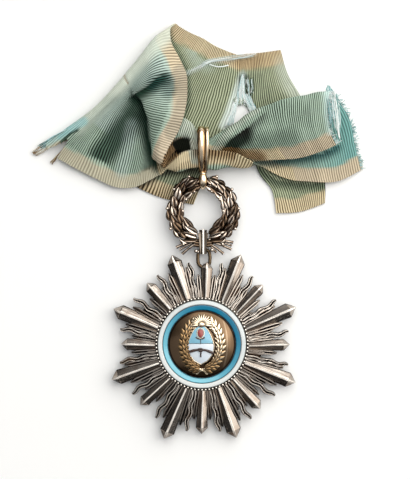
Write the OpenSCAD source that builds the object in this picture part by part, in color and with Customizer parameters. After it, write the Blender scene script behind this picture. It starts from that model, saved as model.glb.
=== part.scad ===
/* [Star] */
// Distance from the star's centre to a large crystal's tip, mm
large_tip = 34.5; // [32:0.1:36]
// Distance from the star's centre to a small crystal's tip, mm
small_tip = 29.8; // [28:0.1:31]
// Distance from the star's centre to a flame ray's tip, mm
flame_tip = 29.9; // [28:0.1:31]
// Widest part of a large crystal, mm
large_wide = 5.2; // [4.6:0.1:5.4]
// Widest part of a small crystal, mm
small_wide = 4.1; // [3.6:0.1:4.4]
// Height of the crystals' ridge over the back of the rays, mm
crystal_high = 2.9; // [2.6:0.1:3.2]
// Sideways swing of a flame ray, mm
flame_swing = 0.42; // [0.2:0.02:0.5]

/* [Centre] */
// Outer radius of the pearled rim, mm
rim_radius = 16.3; // [16:0.1:16.8]
// Number of pearls round the rim
pearl_count = 80; // [72:4:96]
// Height of the dome over its edge, mm
dome_high = 2.9; // [2.4:0.1:3.4]

/* [Suspension] */
// Half the width of the suspension wreath along its leaves' middle, mm
wreath_half_wide = 9.7; // [9.4:0.1:9.9]
// Length of a wreath leaf, mm
leaf_long = 5.0; // [4.6:0.1:5.2]
// Number of leaf groups on each side of the wreath
leaf_groups = 8; // [7:1:9]
// Width of the bail at its top, mm
bail_wide = 3.9; // [3.6:0.1:4.2]
// Radius of the jump ring's wire, mm
ring_wire = 0.52; // [0.44:0.02:0.52]

/* [Ribbon] */
// Thickness of the cloth, mm
cloth_thick = 1; // [1:0.02:1.1]

/* [Hidden] */
$fn = 48;
part_gap = 0.06;
disc_radius = 14;
disc_high = 2.2;
ray_base = disc_high + part_gap;
star_centre = [0.8, -1.2];
star_turn = -1.3;
ray_inner = 13.8;
hub_radius = 15.6;
hub_high = 2.7;
ray_plate_radius = 20.6;
ray_plate_high = 0.8;
ray_edge_high = 1.2;
// How far the slim rays turn from their crystal, degrees, and how much shorter they are, mm
near_turn = 6.5;
far_turn = 9.2;
near_short = 6;
far_short = 9.6;
small_short = 4.4;
tilted = 90;

// How far each crystal leans from its even place, degrees, clockwise from the top
large_lean = [-2.2, -2.4, -2.5, 1.7, -0.1, 1.9, -1.0, 1.9];
small_lean = [0.6, -3.0, -3.0, 1.3, 0.4, 1.6, 0.9, 1.9];

// How much further each crystal reaches than its named length, mm, in the same order
large_reach = [0.1, 0.3, -0.4, -1.0, 0.4, -0.3, -0.2, -0.5];
small_reach = [-0.1, 0, 0, -0.7, 0.5, 0.3, -0.8, 0.2];

cup_base = ray_base + 2.75;
cup_plate_high = 0.5;
rim_inner = 15.35;
rim_high = 1.15;
pearl_swing = 0.16;
white_outer = rim_inner - part_gap;
white_inner = 13.65;
white_base = cup_base + cup_plate_high + part_gap;
blue_outer = white_inner - part_gap;
blue_inner = 11.75;
dome_radius = 11.5;
dome_base = white_base + 0.25;
dome_ball = (dome_radius * dome_radius + dome_high * dome_high) / (2 * dome_high);
dome_ball_z = dome_base + dome_high - dome_ball;
shield_lift = 0.35;
shield_thick = 0.45;
shield_middle = [-0.35, 0];
division_y = 0.35;

wreath_centre = [0.35, 45.8];
wreath_half_high = 10.6;
wreath_z = 3.9;
stem_radius = 1.25;
stem_half_high = 0.85;
bail_centre_x = 0.4;
band_middle = 35.55;
band_half_long = 4.35;
band_wide = 3.5;
band_foot = 1.9;
band_low = 2.1;
band_high = 3.6;
band_ridge = 0.58;
slot_low = 2.95;
slot_high = 1.85;
ring_z = 1.5;
ring_top = 32.9;
ring_bottom = 26.6;
ring_half_wide = 2.1;
eye_radius = 1.0;
eye_wire = 0.33;

// The smallest solid with flat faces round a list of corners
module around(corners) {
    hull()
        polyhedron(corners, [[for (k = [0:len(corners) - 1]) k]]);
}

// Silver star

// A crystal's cross-section: low side walls and a flat-topped ridge
function crystal_slice(at, wide, high, ridge) = [[-wide / 2, at, 0], [wide / 2, at, 0],
    [wide / 2, at, ray_edge_high], [ridge, at, high], [-ridge, at, high],
    [-wide / 2, at, ray_edge_high]];

// It widens to its shoulders, and the ridge runs on to the tip between two more facets
module crystal(tip, wide, high) {
    around(concat(
        crystal_slice(ray_inner, 0.6 * wide, 0.85 * high, 0.25),
        crystal_slice(tip - 0.54 * wide, wide, high, 0.33),
        [[-0.27, tip - 0.3 * wide, 0.95 * high], [0.27, tip - 0.3 * wide, 0.95 * high],
            [0, tip - 0.08 * wide, 0.82 * high], [0, tip, 0], [0, tip, 0.6 * high]]));
}

// A plain straight ray with a narrow flat top
module slim_ray(tip, wide, high) {
    around([for (side = [-1, 1])
        each [[0.37 * wide * side, ray_inner, 0], [0.24 * wide * side, ray_inner, high],
            [0.5 * wide * side, tip - wide, 0], [0.3 * wide * side, tip - wide, 0.85 * high],
            [0, tip, 0.15 * side + 0.15]]]);
}

// A flame ray has two sharp wavy ridges with a groove between them, and a blunt tip
flame_steps = 9;
flame_turns = 1000;
flame_profile = [[-1, 0], [-0.74, 1], [0, 0.4], [0.74, 1], [1, 0]];
function flame_x(v) = flame_swing * (0.35 + 0.65 * v) * sin(flame_turns * v + 30);
function flame_points() = [for (k = [0:flame_steps])
    let (v = k / flame_steps, half = 1.1 - 0.17 * v - (k == flame_steps ? 0.3 : 0), high = 1.9 - 0.6 * v)
    for (c = flame_profile)
        [flame_x(v) + half * c[0], ray_inner + (flame_tip - ray_inner) * v, high * c[1]]];

module flame_ray() {
    n = len(flame_profile);
    walls = [for (k = [0:flame_steps - 1]) for (c = [0:n - 1])
        let (p = k * n + c, q = k * n + (c + 1) % n)
        each [[p, p + n, q], [q, p + n, q + n]]];
    last = flame_steps * n;
    caps = [[for (c = [0:n - 1]) c], [for (c = [n - 1:-1:0]) last + c]];
    polyhedron(flame_points(), concat(walls, caps));
}

module back_eye(x, y) {
    translate([x, y, ring_z])
        rotate([0, tilted, 0])
            rotate_extrude($fn = 24)
                translate([eye_radius, 0])
                    circle(eye_wire, $fn = 10);
}

module rayed_star() {
    color([0.55, 0.51, 0.46]) {
        translate([star_centre[0], star_centre[1], ray_base])
            for (k = [0:7]) {
                large_angle = star_turn - 22.5 - 45 * k - large_lean[k];
                small_angle = star_turn - 45 * k - small_lean[k];
                rotate(large_angle) {
                    crystal(large_tip + large_reach[k], large_wide, crystal_high);
                    for (side = [-1, 1]) {
                        rotate(near_turn * side)
                            slim_ray(large_tip - near_short, 2.1, 1.9);
                        rotate(far_turn * side)
                            slim_ray(large_tip - far_short, 1.8, 1.5);
                    }
                }
                rotate(small_angle) {
                    crystal(small_tip + small_reach[k], small_wide, 0.88 * crystal_high);
                    for (side = [-1, 1])
                        rotate(near_turn * side)
                            slim_ray(small_tip - small_short, 1.9, 1.6);
                }
                for (half = [0, 1])
                    rotate(star_turn - 11.25 - 22.5 * (2 * k + half))
                        flame_ray();
            }
        translate([star_centre[0], star_centre[1], ray_base])
            cylinder(r = ray_plate_radius, h = ray_plate_high);
        translate([0, 0, ray_base])
            cylinder(r = hub_radius, h = hub_high);
        back_eye(0.75, ring_bottom);
    }
}

module reverse_disc() {
    color([0.60, 0.57, 0.52])
        cylinder(r = disc_radius, h = disc_high, $fn = 96);
}

// Medallion

function pearl_edge(radius, swing) = [for (k = [0:3 * pearl_count - 1])
    let (a = 360 * k / (3 * pearl_count))
    (radius + swing * (k % 3 == 0 ? -1 : 0.6)) * [cos(a), sin(a)]];

module pearled_cup() {
    color([0.70, 0.68, 0.63]) {
        translate([0, 0, cup_base])
            cylinder(r = rim_inner + 0.2, h = cup_plate_high, $fn = 96);
        translate([0, 0, cup_base])
            linear_extrude(rim_high)
                difference() {
                    polygon(pearl_edge(rim_radius - pearl_swing, pearl_swing));
                    circle(rim_inner, $fn = 96);
                }
    }
}

module enamel_ring(inner, outer, low, high_inner, high_outer) {
    rotate_extrude($fn = 96)
        polygon([[inner, low], [outer, low], [outer, high_outer], [inner, high_inner]]);
}

module white_enamel_ring() {
    color([0.89, 0.91, 0.90])
        enamel_ring(white_inner, white_outer, white_base, white_base + 0.95, white_base + 0.7);
}

module blue_enamel_ring() {
    color([0.24, 0.64, 0.76])
        enamel_ring(blue_inner, blue_outer, white_base, white_base + 0.45, white_base + 0.95);
}

// The part of a ball-shaped shell that lies over the dome between two heights
module dome_shell(low, high) {
    translate([0, 0, dome_ball_z])
        difference() {
            sphere(dome_ball + high, $fn = 96);
            sphere(dome_ball + low, $fn = 96);
        }
}

module centre_dome() {
    color([0.42, 0.33, 0.24]) {
        translate([0, 0, white_base])
            cylinder(r = dome_radius, h = dome_base - white_base + 0.01, $fn = 96);
        intersection() {
            translate([0, 0, dome_base])
                cylinder(r = dome_radius, h = dome_high + 1, $fn = 96);
            translate([0, 0, dome_ball_z])
                sphere(dome_ball, $fn = 96);
        }
    }
}

// A straight-sided shield, rounded at the top and pointed at the bottom
module shield_outline(grow) {
    translate(shield_middle)
        offset(delta = grow)
            polygon([[0, 6.75], [1.3, 6.35], [2.35, 5.2], [3.3, 3.5], [4.1, 1.5], [4.6, -0.3],
                [4.4, -2.1], [3.7, -3.8], [2.3, -5.6], [0, -6.85], [-2.3, -5.6], [-3.7, -3.8],
                [-4.4, -2.1], [-4.6, -0.3], [-4.1, 1.5], [-3.3, 3.5], [-2.35, 5.2],
                [-1.3, 6.35]]);
}

module shield_piece(from_y, to_y) {
    intersection() {
        dome_shell(part_gap, shield_lift + shield_thick);
        translate([0, 0, dome_base])
            linear_extrude(dome_high + 2)
                intersection() {
                    shield_outline(0);
                    translate([-6, from_y])
                        square([12, to_y - from_y]);
                }
    }
}

module shield_lower() {
    color([0.88, 0.91, 0.94])
        shield_piece(-8, division_y - 0.05);
}

module shield_upper() {
    color([0.52, 0.75, 0.85])
        shield_piece(division_y + 0.05, 8);
}

// Puts children on the dome at x, y, upright to its surface and turned in its plane
module on_dome(x, y, turn, lift) {
    reach = sqrt(x * x + y * y);
    side = atan2(y, x);
    translate([0, 0, dome_ball_z])
        rotate([0, 0, side])
            rotate([0, asin(reach / dome_ball), 0])
                translate([0, 0, dome_ball + lift])
                    rotate([0, 0, turn - side])
                        children();
}

// A pointed leaf along +X, thickest near its middle
module leaf(long, wide, thick) {
    around([[0, 0, 0], [long, 0, 0.1 * thick],
        for (x = [0.3, 0.6])
            each [[x * long, wide / 2, 0], [x * long, -wide / 2, 0],
                [x * long, 0, thick / 2], [x * long, 0, -thick / 2]]]);
}

laurel_half_wide = 6.2;
laurel_half_high = 8.4;
laurel_count = 8;
sun_at = [-0.15, 6.75];
laurel_bends = 12;

// The laurel of the arms: two branches that rise from the knot, and the sun over them
module arms_laurel() {
    color([0.72, 0.62, 0.45])
        difference() {
            union() {
                for (side = [-1, 1])
                    for (k = [0:laurel_count - 1]) {
                        a = -80 + 134 * k / (laurel_count - 1);
                        x = side * laurel_half_wide * cos(a) + 0.1;
                        y = laurel_half_high * sin(a) - 0.2;
                        along = atan2(laurel_half_high * cos(a), -side * laurel_half_wide * sin(a));
                        on_dome(x * 0.97, y * 0.97, along + 24 * side, 0.58)
                            leaf(3.1, 1.5, 0.95);
                        on_dome(x * 1.02, y * 1.01, along - 33 * side, 0.5)
                            leaf(3.1, 1.5, 1.0);
                    }
                for (k = [0:laurel_bends - 1])
                    hull()
                        for (a = [k, k + 1] * 360 / laurel_bends)
                            on_dome(laurel_half_wide * cos(a), laurel_half_high * sin(a), 0, 0.42)
                                cube([0.9, 0.9, 0.45], center = true);
                for (k = [-3:3])
                    on_dome(sun_at[0] + sin(30 * k), sun_at[1] + cos(30 * k), tilted - 30 * k, 1.0)
                        leaf(3.0, 1.4, 1.0);
                on_dome(sun_at[0], sun_at[1] + 0.3, 0, 0.9)
                    scale([1, 0.75, 0.5])
                        sphere(1.3, $fn = 12);
                for (side = [-1, 1]) {
                    on_dome(side * 0.55, -8.75, 0, 0.62)
                        scale([1.3, 0.8, 0.5])
                            sphere(1.0, $fn = 8);
                    on_dome(side * 0.5, -8.9, side * 42 - tilted, 0.6)
                        leaf(2.4, 1.2, 0.9);
                }
            }
            translate([0, 0, dome_base])
                linear_extrude(dome_high + 3)
                    shield_outline(0.12);
        }
}

// The shield's top face, over which the cap and hands stand
module over_shield(low, high) {
    intersection() {
        dome_shell(shield_lift + shield_thick + low, shield_lift + shield_thick + high);
        translate([0, 0, dome_base])
            linear_extrude(dome_high + 3)
                children();
    }
}

module red_cap() {
    color([0.74, 0.28, 0.24])
        over_shield(part_gap, 0.5)
            union() {
                translate([-0.45, 3.9])
                    scale([1, 1.4])
                        circle(1.05, $fn = 24);
                polygon([[-2.1, 2.8], [-1.7, 2.0], [0.7, 2.0], [1.0, 2.7], [0.5, 2.45], [-1.5, 2.45]]);
                translate([-0.55, 0.5])
                    square([0.3, 2.4]);
            }
}

module clasped_hands() {
    color([0.38, 0.22, 0.14])
        over_shield(part_gap, 0.55)
            union() {
                polygon([[-4.7, -2.9], [-4.6, -2.2], [-2.3, -1.45], [-0.4, -1.05], [1.5, -1.4],
                    [4.2, -2.6], [4.2, -3.2], [1.4, -2.3], [0.6, -2.75], [-0.1, -2.75],
                    [-0.1, -3.7], [0.1, -4.1], [-0.4, -4.4], [-0.7, -4.1], [-0.6, -2.75],
                    [-1.5, -2.6], [-2.2, -2.2]]);
            }
}

// Suspension

// One group: an outer, an inner and on top of them a middle leaf, with a berry at each edge.
// Groups near the top have shorter leaves, which end before the bail
leaf_wide = 2.6;
module leaf_group(a, side) {
    at = [wreath_centre[0] + side * wreath_half_wide * cos(a),
        wreath_centre[1] + wreath_half_high * sin(a)];
    along = atan2(wreath_half_high * cos(a), -side * wreath_half_wide * sin(a));
    room = max(0.4, min(1, (wreath_half_wide * cos(a) - 1.75) / 5.6));
    long = leaf_long * room;
    translate([at[0], at[1], wreath_z])
        rotate([0, 0, along]) {
            translate([0, -1.75 * side, 0.1])
                rotate([0, -5, -7 * side])
                    leaf(long, leaf_wide, 1.9);
            translate([0, 1.6 * side, 0.1])
                rotate([0, -5, 14 * side])
                    leaf(0.85 * long, leaf_wide, 1.9);
            translate([1.2 * room, 0, 0.75])
                rotate([0, -6, 4 * side])
                    leaf(long, leaf_wide, 1.6);
            translate([1.0, -2.65 * side, 0.5])
                sphere(0.5, $fn = 5);
            translate([0.5, 2.6 * side, 0.5])
                sphere(0.46, $fn = 5);
        }
}

// A bare stem below the binding, from the middle of the wreath out to its cut end
module cut_stem(from, to, z, thick) {
    hull() {
        translate([from[0], from[1], wreath_z + z])
            cube([thick, thick, thick], center = true);
        translate([to[0], to[1], wreath_z + z - 0.3])
            cube([thick, thick * 1.1, thick], center = true);
    }
}

module suspension_wreath() {
    color([0.48, 0.37, 0.25]) {
        translate([wreath_centre[0], wreath_centre[1], wreath_z])
            scale([wreath_half_wide / wreath_half_high, 1, 1])
                rotate_extrude($fn = 32)
                    translate([wreath_half_high, 0])
                        scale([stem_radius, stem_half_high])
                            circle(1, $fn = 6);
        for (side = [-1, 1]) {
            for (k = [0:leaf_groups - 1])
                leaf_group(-62 + 121 * k / (leaf_groups - 1), side);
            // large leaves that leave the band: from, to, height and width
            for (one = [[[1.9, 38.2], [6.4, 41.0], 0.9, 2.6], [[2.1, 37.0], [7.6, 38.9], 0.8, 2.4],
                [[3.3, 39.2], [6.9, 44.2], 0.6, 2.4]]) {
                ahead = one[1] - one[0];
                translate([bail_centre_x + side * one[0][0], one[0][1], wreath_z + one[2]])
                    rotate([0, 0, atan2(ahead[1], side * ahead[0])])
                        leaf(norm(ahead), one[3], 1.6);
            }
        }
        // the bundle of stems through the binding
        translate([wreath_centre[0], 35.0, wreath_z + 0.1])
            cube([7.4, 2.8, 1.4], center = true);
        // cut stems, each from the bundle out to its end, with its height and thickness
        for (one = [[[-1.6, 36.0], [-8.9, 33.5], 0.4, 0.85], [[-1.6, 35.2], [-6.9, 31.2], 0.2, 0.85],
            [[-1.8, 35.6], [-7.8, 32.6], 0.1, 0.7], [[2.4, 36.0], [10.9, 35.2], 0.4, 0.85],
            [[2.4, 35.6], [10.3, 32.8], 0.2, 0.8], [[2.3, 35.0], [7.5, 31.3], 0.2, 0.8],
            [[2.3, 34.6], [5.0, 31.7], 0.1, 0.7]])
            cut_stem(one[0], one[1], one[2], one[3]);
    }
}

module wreath_band() {
    color([0.66, 0.62, 0.56]) {
        difference() {
            translate([bail_centre_x, band_middle - band_half_long, 0])
                union() {
                    translate([0, 0, band_low])
                        linear_extrude(band_high)
                            polygon([[-band_foot / 2, 0], [-band_wide / 2, 7.3], [-1.2, 7.65],
                                [1.2, 7.65], [band_wide / 2, 7.3], [band_foot / 2, 0]]);
                    translate([0, 0, band_low + band_high - 0.2])
                        rotate([-tilted, 0, 0])
                            cylinder(r = band_ridge, h = 2 * band_half_long, $fn = 24);
                }
            // the slot that the stems and the wreath's bottom pass through
            translate([bail_centre_x - band_wide, band_middle - 2.25, slot_low])
                cube([2 * band_wide, 4.6, slot_high]);
        }
        back_eye(bail_centre_x, ring_top);
    }
}

// The bail's side view in y and z: one long loop for the ribbon and a small one for the wreath
module bail_side(grow) {
    offset(delta = grow)
        polygon([[60.4, 2.3], [62.0, 1.6], [65.0, 1.35], [71.0, 1.35], [73.6, 1.8], [75.1, 3.2],
            [75.6, 5.4], [75.2, 7.8], [73.8, 9.4], [71.5, 10.1], [67.0, 9.8], [63.4, 8.8],
            [60.6, 6.9], [59.6, 6.2], [57.5, 6.4], [55.3, 5.9], [54.1, 4.9], [54.1, 2.9],
            [55.2, 1.9], [57.5, 1.5], [59.6, 1.9]]);
}

module bail_openings() {
    polygon([[60.6, 4.3], [61.4, 3.2], [63.5, 2.5], [71.0, 2.45], [73.2, 2.9], [74.3, 4.2],
        [74.5, 5.5], [74.1, 7.4], [73.1, 8.4], [71.4, 8.9], [67.4, 8.7], [63.9, 7.8],
        [61.4, 6.4], [60.7, 5.6]]);
    polygon([[54.95, 3.2], [55.6, 2.75], [58.0, 2.7], [58.4, 3.2], [58.4, 4.7], [58.0, 5.1],
        [55.6, 5.1], [54.95, 4.6]]);
}

// Turns a drawing in y and z into a solid of the given width along x
module from_side(wide) {
    translate([bail_centre_x - wide / 2, 0, 0])
        rotate([tilted, 0, tilted])
            linear_extrude(wide)
                children();
}

module bail() {
    color([0.78, 0.62, 0.48])
        intersection() {
            union() {
                from_side(bail_wide)
                    difference() {
                        bail_side(0);
                        bail_openings();
                    }
                from_side(1.5)
                    difference() {
                        bail_side(0.35);
                        bail_side(-0.2);
                        translate([50, 0])
                            square([40, 3.6]);
                    }
            }
            translate([bail_centre_x, 0, 0])
                linear_extrude(12)
                    polygon([[-bail_wide / 2, 76.5], [-bail_wide / 2, 69], [-1.05, 60.4],
                        [-0.9, 59.2], [-1.3, 58.2], [-1.45, 57.2], [-1.45, 56.2], [-1.25, 55.1],
                        [-0.75, 54], [0.75, 54], [1.25, 55.1], [1.45, 56.2], [1.45, 57.2],
                        [1.3, 58.2], [0.9, 59.2], [1.05, 60.4], [bail_wide / 2, 69],
                        [bail_wide / 2, 76.5]]);
        }
}

module jump_ring() {
    color([0.62, 0.55, 0.42])
        translate([0.7, 0, ring_z]) {
            translate([0, ring_top - ring_half_wide, 0])
                rotate_extrude(angle = 180)
                    translate([ring_half_wide, 0])
                        circle(ring_wire, $fn = 20);
            translate([0, ring_bottom + ring_half_wide, 0])
                rotate([0, 0, 180])
                    rotate_extrude(angle = 180)
                        translate([ring_half_wide, 0])
                            circle(ring_wire, $fn = 20);
            for (side = [-1, 1])
                translate([side * ring_half_wide, ring_bottom + ring_half_wide, 0])
                    rotate([-tilted, 0, 0])
                        cylinder(r = ring_wire, h = ring_top - ring_bottom - 2 * ring_half_wide,
                            $fn = 20);
        }
}

// Ribbon
// One strip, set down as sections across its width. Each row is one section. Its seven points run
// from the lower selvage, by the hidden bend (the fourth), to the upper selvage, as x, y and
// height, and the last number is half the height of that bend, or 0 where the section is smooth

// From the torn right end to the bail: back layer, crest, front layer
right_roll = [
    [[55.5, 60.5, 0.8], [53.5, 68.5, 1.6], [51, 79, 2.6], [44.5, 88, 4.6],
        [43.5, 82.5, 6.8], [44, 74.5, 7], [46.5, 69, 6.2], 0.9],
    [[47, 56.5, 1.8], [45, 66, 2], [41.5, 77.5, 2.8], [36.5, 86.5, 5],
        [36, 80.5, 7.6], [37.5, 72.5, 7.6], [40.5, 66.5, 6.2], 0.9],
    [[37.5, 56.5, 2.1], [35, 65.5, 2.2], [32, 76.5, 3], [27.5, 84.5, 5.2],
        [28, 78, 7.8], [30, 70.5, 7.4], [33.5, 64.5, 6], 0.9],
    [[29.5, 57.5, 2.2], [27, 65.5, 2.3], [23, 74, 3], [18, 81, 5.2],
        [20, 75.5, 7.8], [22.5, 69, 7], [26, 64, 5.6], 0.9],
];

// Through the bail: the lower edge is turned up at the front as a cuff
gathers = [
    [[21, 61.5, 3.6], [19.5, 64.5, 2.4], [15.5, 70.5, 3], [12, 77, 5],
        [13.5, 73.5, 7.4], [16, 68, 6.6], [19.5, 64, 5], 0.9],
    [[17.5, 63, 7], [15.5, 61.5, 4.4], [11, 67.5, 2.8], [7.5, 74, 4.8],
        [9, 71.5, 6.9], [11, 68, 6], [14, 65, 4.8], 0.8],
    [[12, 66, 7.6], [10, 61.5, 5], [7, 67, 3], [4, 72, 4.7],
        [5, 70, 6.4], [6.5, 67.5, 5.8], [9, 65, 4.9], 0.7],
    [[5.5, 67, 7.6], [4.5, 60.5, 5.4], [3, 66.5, 3.3], [1.5, 71, 4.6],
        [2, 69, 6.1], [2, 67, 5.7], [3, 64.5, 5.2], 0.7],
    [[0.5, 67.5, 7.4], [0, 61.5, 5.4], [-0.5, 66.5, 3.3], [-1, 71.5, 4.6],
        [-1, 69, 6.1], [-1, 67, 5.7], [-0.5, 64.5, 5.2], 0.7],
    [[-4.5, 67, 7.6], [-4, 61, 5.4], [-5.5, 66, 3.2], [-3, 76, 4.4],
        [-3.5, 72, 6.4], [-4.5, 69, 5.8], [-5, 66.5, 5.2], 0.7],
    [[-8.5, 65.5, 7.5], [-8.5, 60, 5], [-10.5, 66.5, 2.5], [-5.5, 78, 4],
        [-7, 74, 6.1], [-8.5, 70, 5.3], [-9.5, 67, 4.6], 0.8],
];

// The fanned left side, with a lap that grows from the pinch down to the cuff
left_fan = [
    [[-13.5, 59.5, 4.2], [-14.5, 62, 2.6], [-15.5, 68, 2.4], [-9, 80, 4],
        [-16, 66.5, 5.6], [-15, 63.5, 6.4], [-13, 61.5, 5.8], 0.9],
    [[-15.5, 58.5, 3.4], [-16.5, 62, 2.5], [-16, 70.5, 2.3], [-10.5, 81, 4.1],
        [-17, 68.5, 6.2], [-15.5, 65, 8.8], [-13, 63.5, 8.4], 0.9],
    [[-18, 57, 2.8], [-18.5, 64, 2.3], [-16.5, 73, 2.4], [-12, 82, 4.2],
        [-17.5, 71, 6.6], [-14.5, 69, 9.4], [-11.5, 68, 8.8], 0.9],
    [[-23.5, 54.5, 2.2], [-21.5, 63.5, 2.3], [-19.5, 74, 2.6], [-14.5, 84.5, 4.4],
        [-18.5, 77.5, 7.2], [-13.5, 75.5, 9.6], [-8, 74, 7.4], 0.8],
    [[-30, 54.5, 1.8], [-28, 64, 2.4], [-25, 75.5, 3], [-20, 85, 4.3],
        [-20.5, 84, 7.2], [-13.5, 82.5, 9.4], [-5.5, 82.5, 7], 0.4],
    [[-37, 57.5, 1.8], [-33.5, 67, 3], [-29, 77.5, 3.6], [-24, 86, 4.8],
        [-22.5, 87.5, 6], [-15, 88.5, 7.4], [-5, 89, 6.6], 0.1],
    [[-43, 60.5, 1.9], [-38.5, 69.5, 3.4], [-32, 80, 4.2], [-26, 88, 5.4],
        [-21.5, 90.5, 7.2], [-14.5, 92.5, 9], [-5.5, 94, 6], 0],
    [[-47.5, 63, 2.1], [-41.5, 72, 4], [-34.5, 82.5, 5], [-27.5, 89.5, 5.8],
        [-22, 94, 6.8], [-15.5, 97.5, 7.4], [-7.5, 98.5, 5], 0],
    [[-51, 65, 2.3], [-44.5, 74, 4.4], [-36, 84, 5.6], [-28.5, 91.5, 5.8],
        [-23, 97.5, 6], [-17.5, 103, 5.6], [-10.5, 104.5, 4.2], 0],
    [[-54, 68, 2.5], [-47.5, 75.5, 3.8], [-39, 84, 4.5], [-31.5, 92, 4.5],
        [-25, 98.5, 4.5], [-18, 105.5, 4.2], [-11, 109.5, 3.4], 0],
];

// Folded over the left edge and back beneath the rest, flat on the surface, up to the tear
back_left = [
    [[-53.5, 70.5, 1.3], [-47, 77, 2], [-39, 84.5, 2.2], [-32, 92, 2.2],
        [-25, 99, 2.2], [-17, 105.5, 2.1], [-9.5, 111.5, 1.9], 0],
    [[-49, 67.5, 0.6], [-42.5, 74, 0.6], [-35.5, 82, 0.6], [-28.5, 89, 0.6],
        [-21.5, 96.5, 0.6], [-14.5, 103.5, 0.6], [-7.5, 110.5, 0.6], 0],
    [[-39, 61.5, 0.6], [-33.5, 68.5, 0.6], [-27.5, 76.5, 0.6], [-21.5, 84.5, 0.6],
        [-15.5, 93, 0.6], [-10, 100.5, 0.6], [-4, 108.5, 0.6], 0],
    [[-27, 56.5, 0.6], [-22.5, 64.5, 0.6], [-18, 72.5, 0.6], [-13.5, 81, 0.6],
        [-8.5, 89.5, 0.6], [-4, 98, 0.6], [0.5, 106.5, 0.6], 0],
    [[-14.5, 51, 0.6], [-11, 60, 0.6], [-8, 68.5, 0.6], [-5, 77.5, 0.6],
        [-1.5, 86, 0.6], [2, 95, 0.6], [5.5, 103.5, 0.6], 0],
    [[-3, 48.5, 0.6], [0.5, 57, 0.6], [5, 67, 0.6], [9.5, 76.5, 0.6],
        [12.5, 86, 0.6], [13.5, 93, 0.6], [13, 100.5, 0.6], 0],
];

// The other side of the tear, to the end
back_right = [
    [[26, 45.5, 0.6], [24.5, 53.5, 0.6], [19.5, 60.5, 0.8], [15, 76.5, 0.6],
        [15, 86, 0.6], [15, 93, 0.6], [15.5, 101, 0.6], 0],
    [[34.5, 46, 0.6], [32, 54.5, 0.6], [28.5, 63.5, 0.6], [25.5, 73, 0.6],
        [23, 82.5, 0.6], [21.5, 92, 0.6], [20.5, 101.5, 0.6], 0],
    [[43, 49, 0.6], [43, 56, 0.8], [40.5, 66, 1], [37.5, 76, 1],
        [34.5, 86, 1.1], [30, 94, 1.1], [27.5, 102.5, 0.8], 0],
];

// A smooth curve through the entries of a list, cut into even steps
function blend_at(list, i, u) =
    let (a = list[max(i - 1, 0)], b = list[i], c = list[i + 1],
        d = list[min(i + 2, len(list) - 1)])
    b + 0.5 * u * (c - a + u * (2 * a - 5 * b + 4 * c - d + u * (3 * b - 3 * c + d - a)));
function smoothed(list, steps) = concat(
    [for (i = [0:len(list) - 2]) for (k = [0:steps - 1]) blend_at(list, i, k / steps)],
    [list[len(list) - 1]]);

// A section's hidden bend made blunt: one point before it and one after, apart in height
bend_share = 0.12;
function with_bend(row) =
    let (turn = row[3], rise = [0, 0, row[7]])
    [row[0], row[1], row[2], turn + bend_share * (row[2] - turn) - rise,
        turn + bend_share * (row[4] - turn) + rise, row[4], row[5], row[6]];
function cloth_surface(rows) =
    [for (row = smoothed([for (row = rows) with_bend(row)], steps_along))
        smoothed(row, steps_across)];

steps_along = 2;
steps_across = 2;
front_grid = cloth_surface(concat(right_roll, gathers, left_fan, back_left));
cloth_grid = concat(front_grid, cloth_surface(back_right));
row_count = len(cloth_grid);
point_count = len(cloth_grid[0]);
// the tear runs from the lower selvage up to this point of a section
tear_row = len(front_grid) - 1;
tear_top = 6 * steps_across;

function unit(v) = v / max(norm(v), 0.0001);
function cloth_normal(i, j) =
    let (along = cloth_grid[min(i + 1, row_count - 1)][j] - cloth_grid[max(i - 1, 0)][j],
        across = cloth_grid[i][min(j + 1, point_count - 1)] - cloth_grid[i][max(j - 1, 0)])
    unit(cross(across, along));
function is_cloth(i, j) = i >= 0 && j >= 0 && i < row_count - 1 && j < point_count - 1
    && !(i == tear_row && j < tear_top);

module ribbon() {
    count = row_count * point_count;
    points = concat(
        [for (i = [0:row_count - 1]) for (j = [0:point_count - 1])
            cloth_grid[i][j] + cloth_normal(i, j) * cloth_thick / 2],
        [for (i = [0:row_count - 1]) for (j = [0:point_count - 1])
            cloth_grid[i][j] - cloth_normal(i, j) * cloth_thick / 2]);
    cells = [for (i = [0:row_count - 2]) for (j = [0:point_count - 2]) if (is_cloth(i, j)) [i, j]];
    faces = [for (c = cells)
        let (p = c[0] * point_count + c[1], q = p + 1, r = p + point_count + 1,
            s = p + point_count)
        each [[p, r, q], [p, s, r], [count + p, count + q, count + r],
            [count + p, count + r, count + s]]];
    rims = [for (c = cells)
        let (i = c[0], j = c[1], p = i * point_count + j, q = p + 1, r = p + point_count + 1,
            s = p + point_count)
        each concat(
            is_cloth(i, j - 1) ? [] : [[s, count + p, count + s], [s, p, count + p]],
            is_cloth(i, j + 1) ? [] : [[q, count + r, count + q], [q, r, count + r]],
            is_cloth(i - 1, j) ? [] : [[p, count + q, count + p], [p, q, count + q]],
            is_cloth(i + 1, j) ? [] : [[r, count + s, count + r], [r, s, count + s]])];
    color([0.60, 0.71, 0.68])
        polyhedron(points, concat(faces, rims));
}

rayed_star();
reverse_disc();
pearled_cup();
white_enamel_ring();
blue_enamel_ring();
centre_dome();
arms_laurel();
shield_lower();
shield_upper();
red_cap();
clasped_hands();
suspension_wreath();
wreath_band();
bail();
jump_ring();
ribbon();
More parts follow.
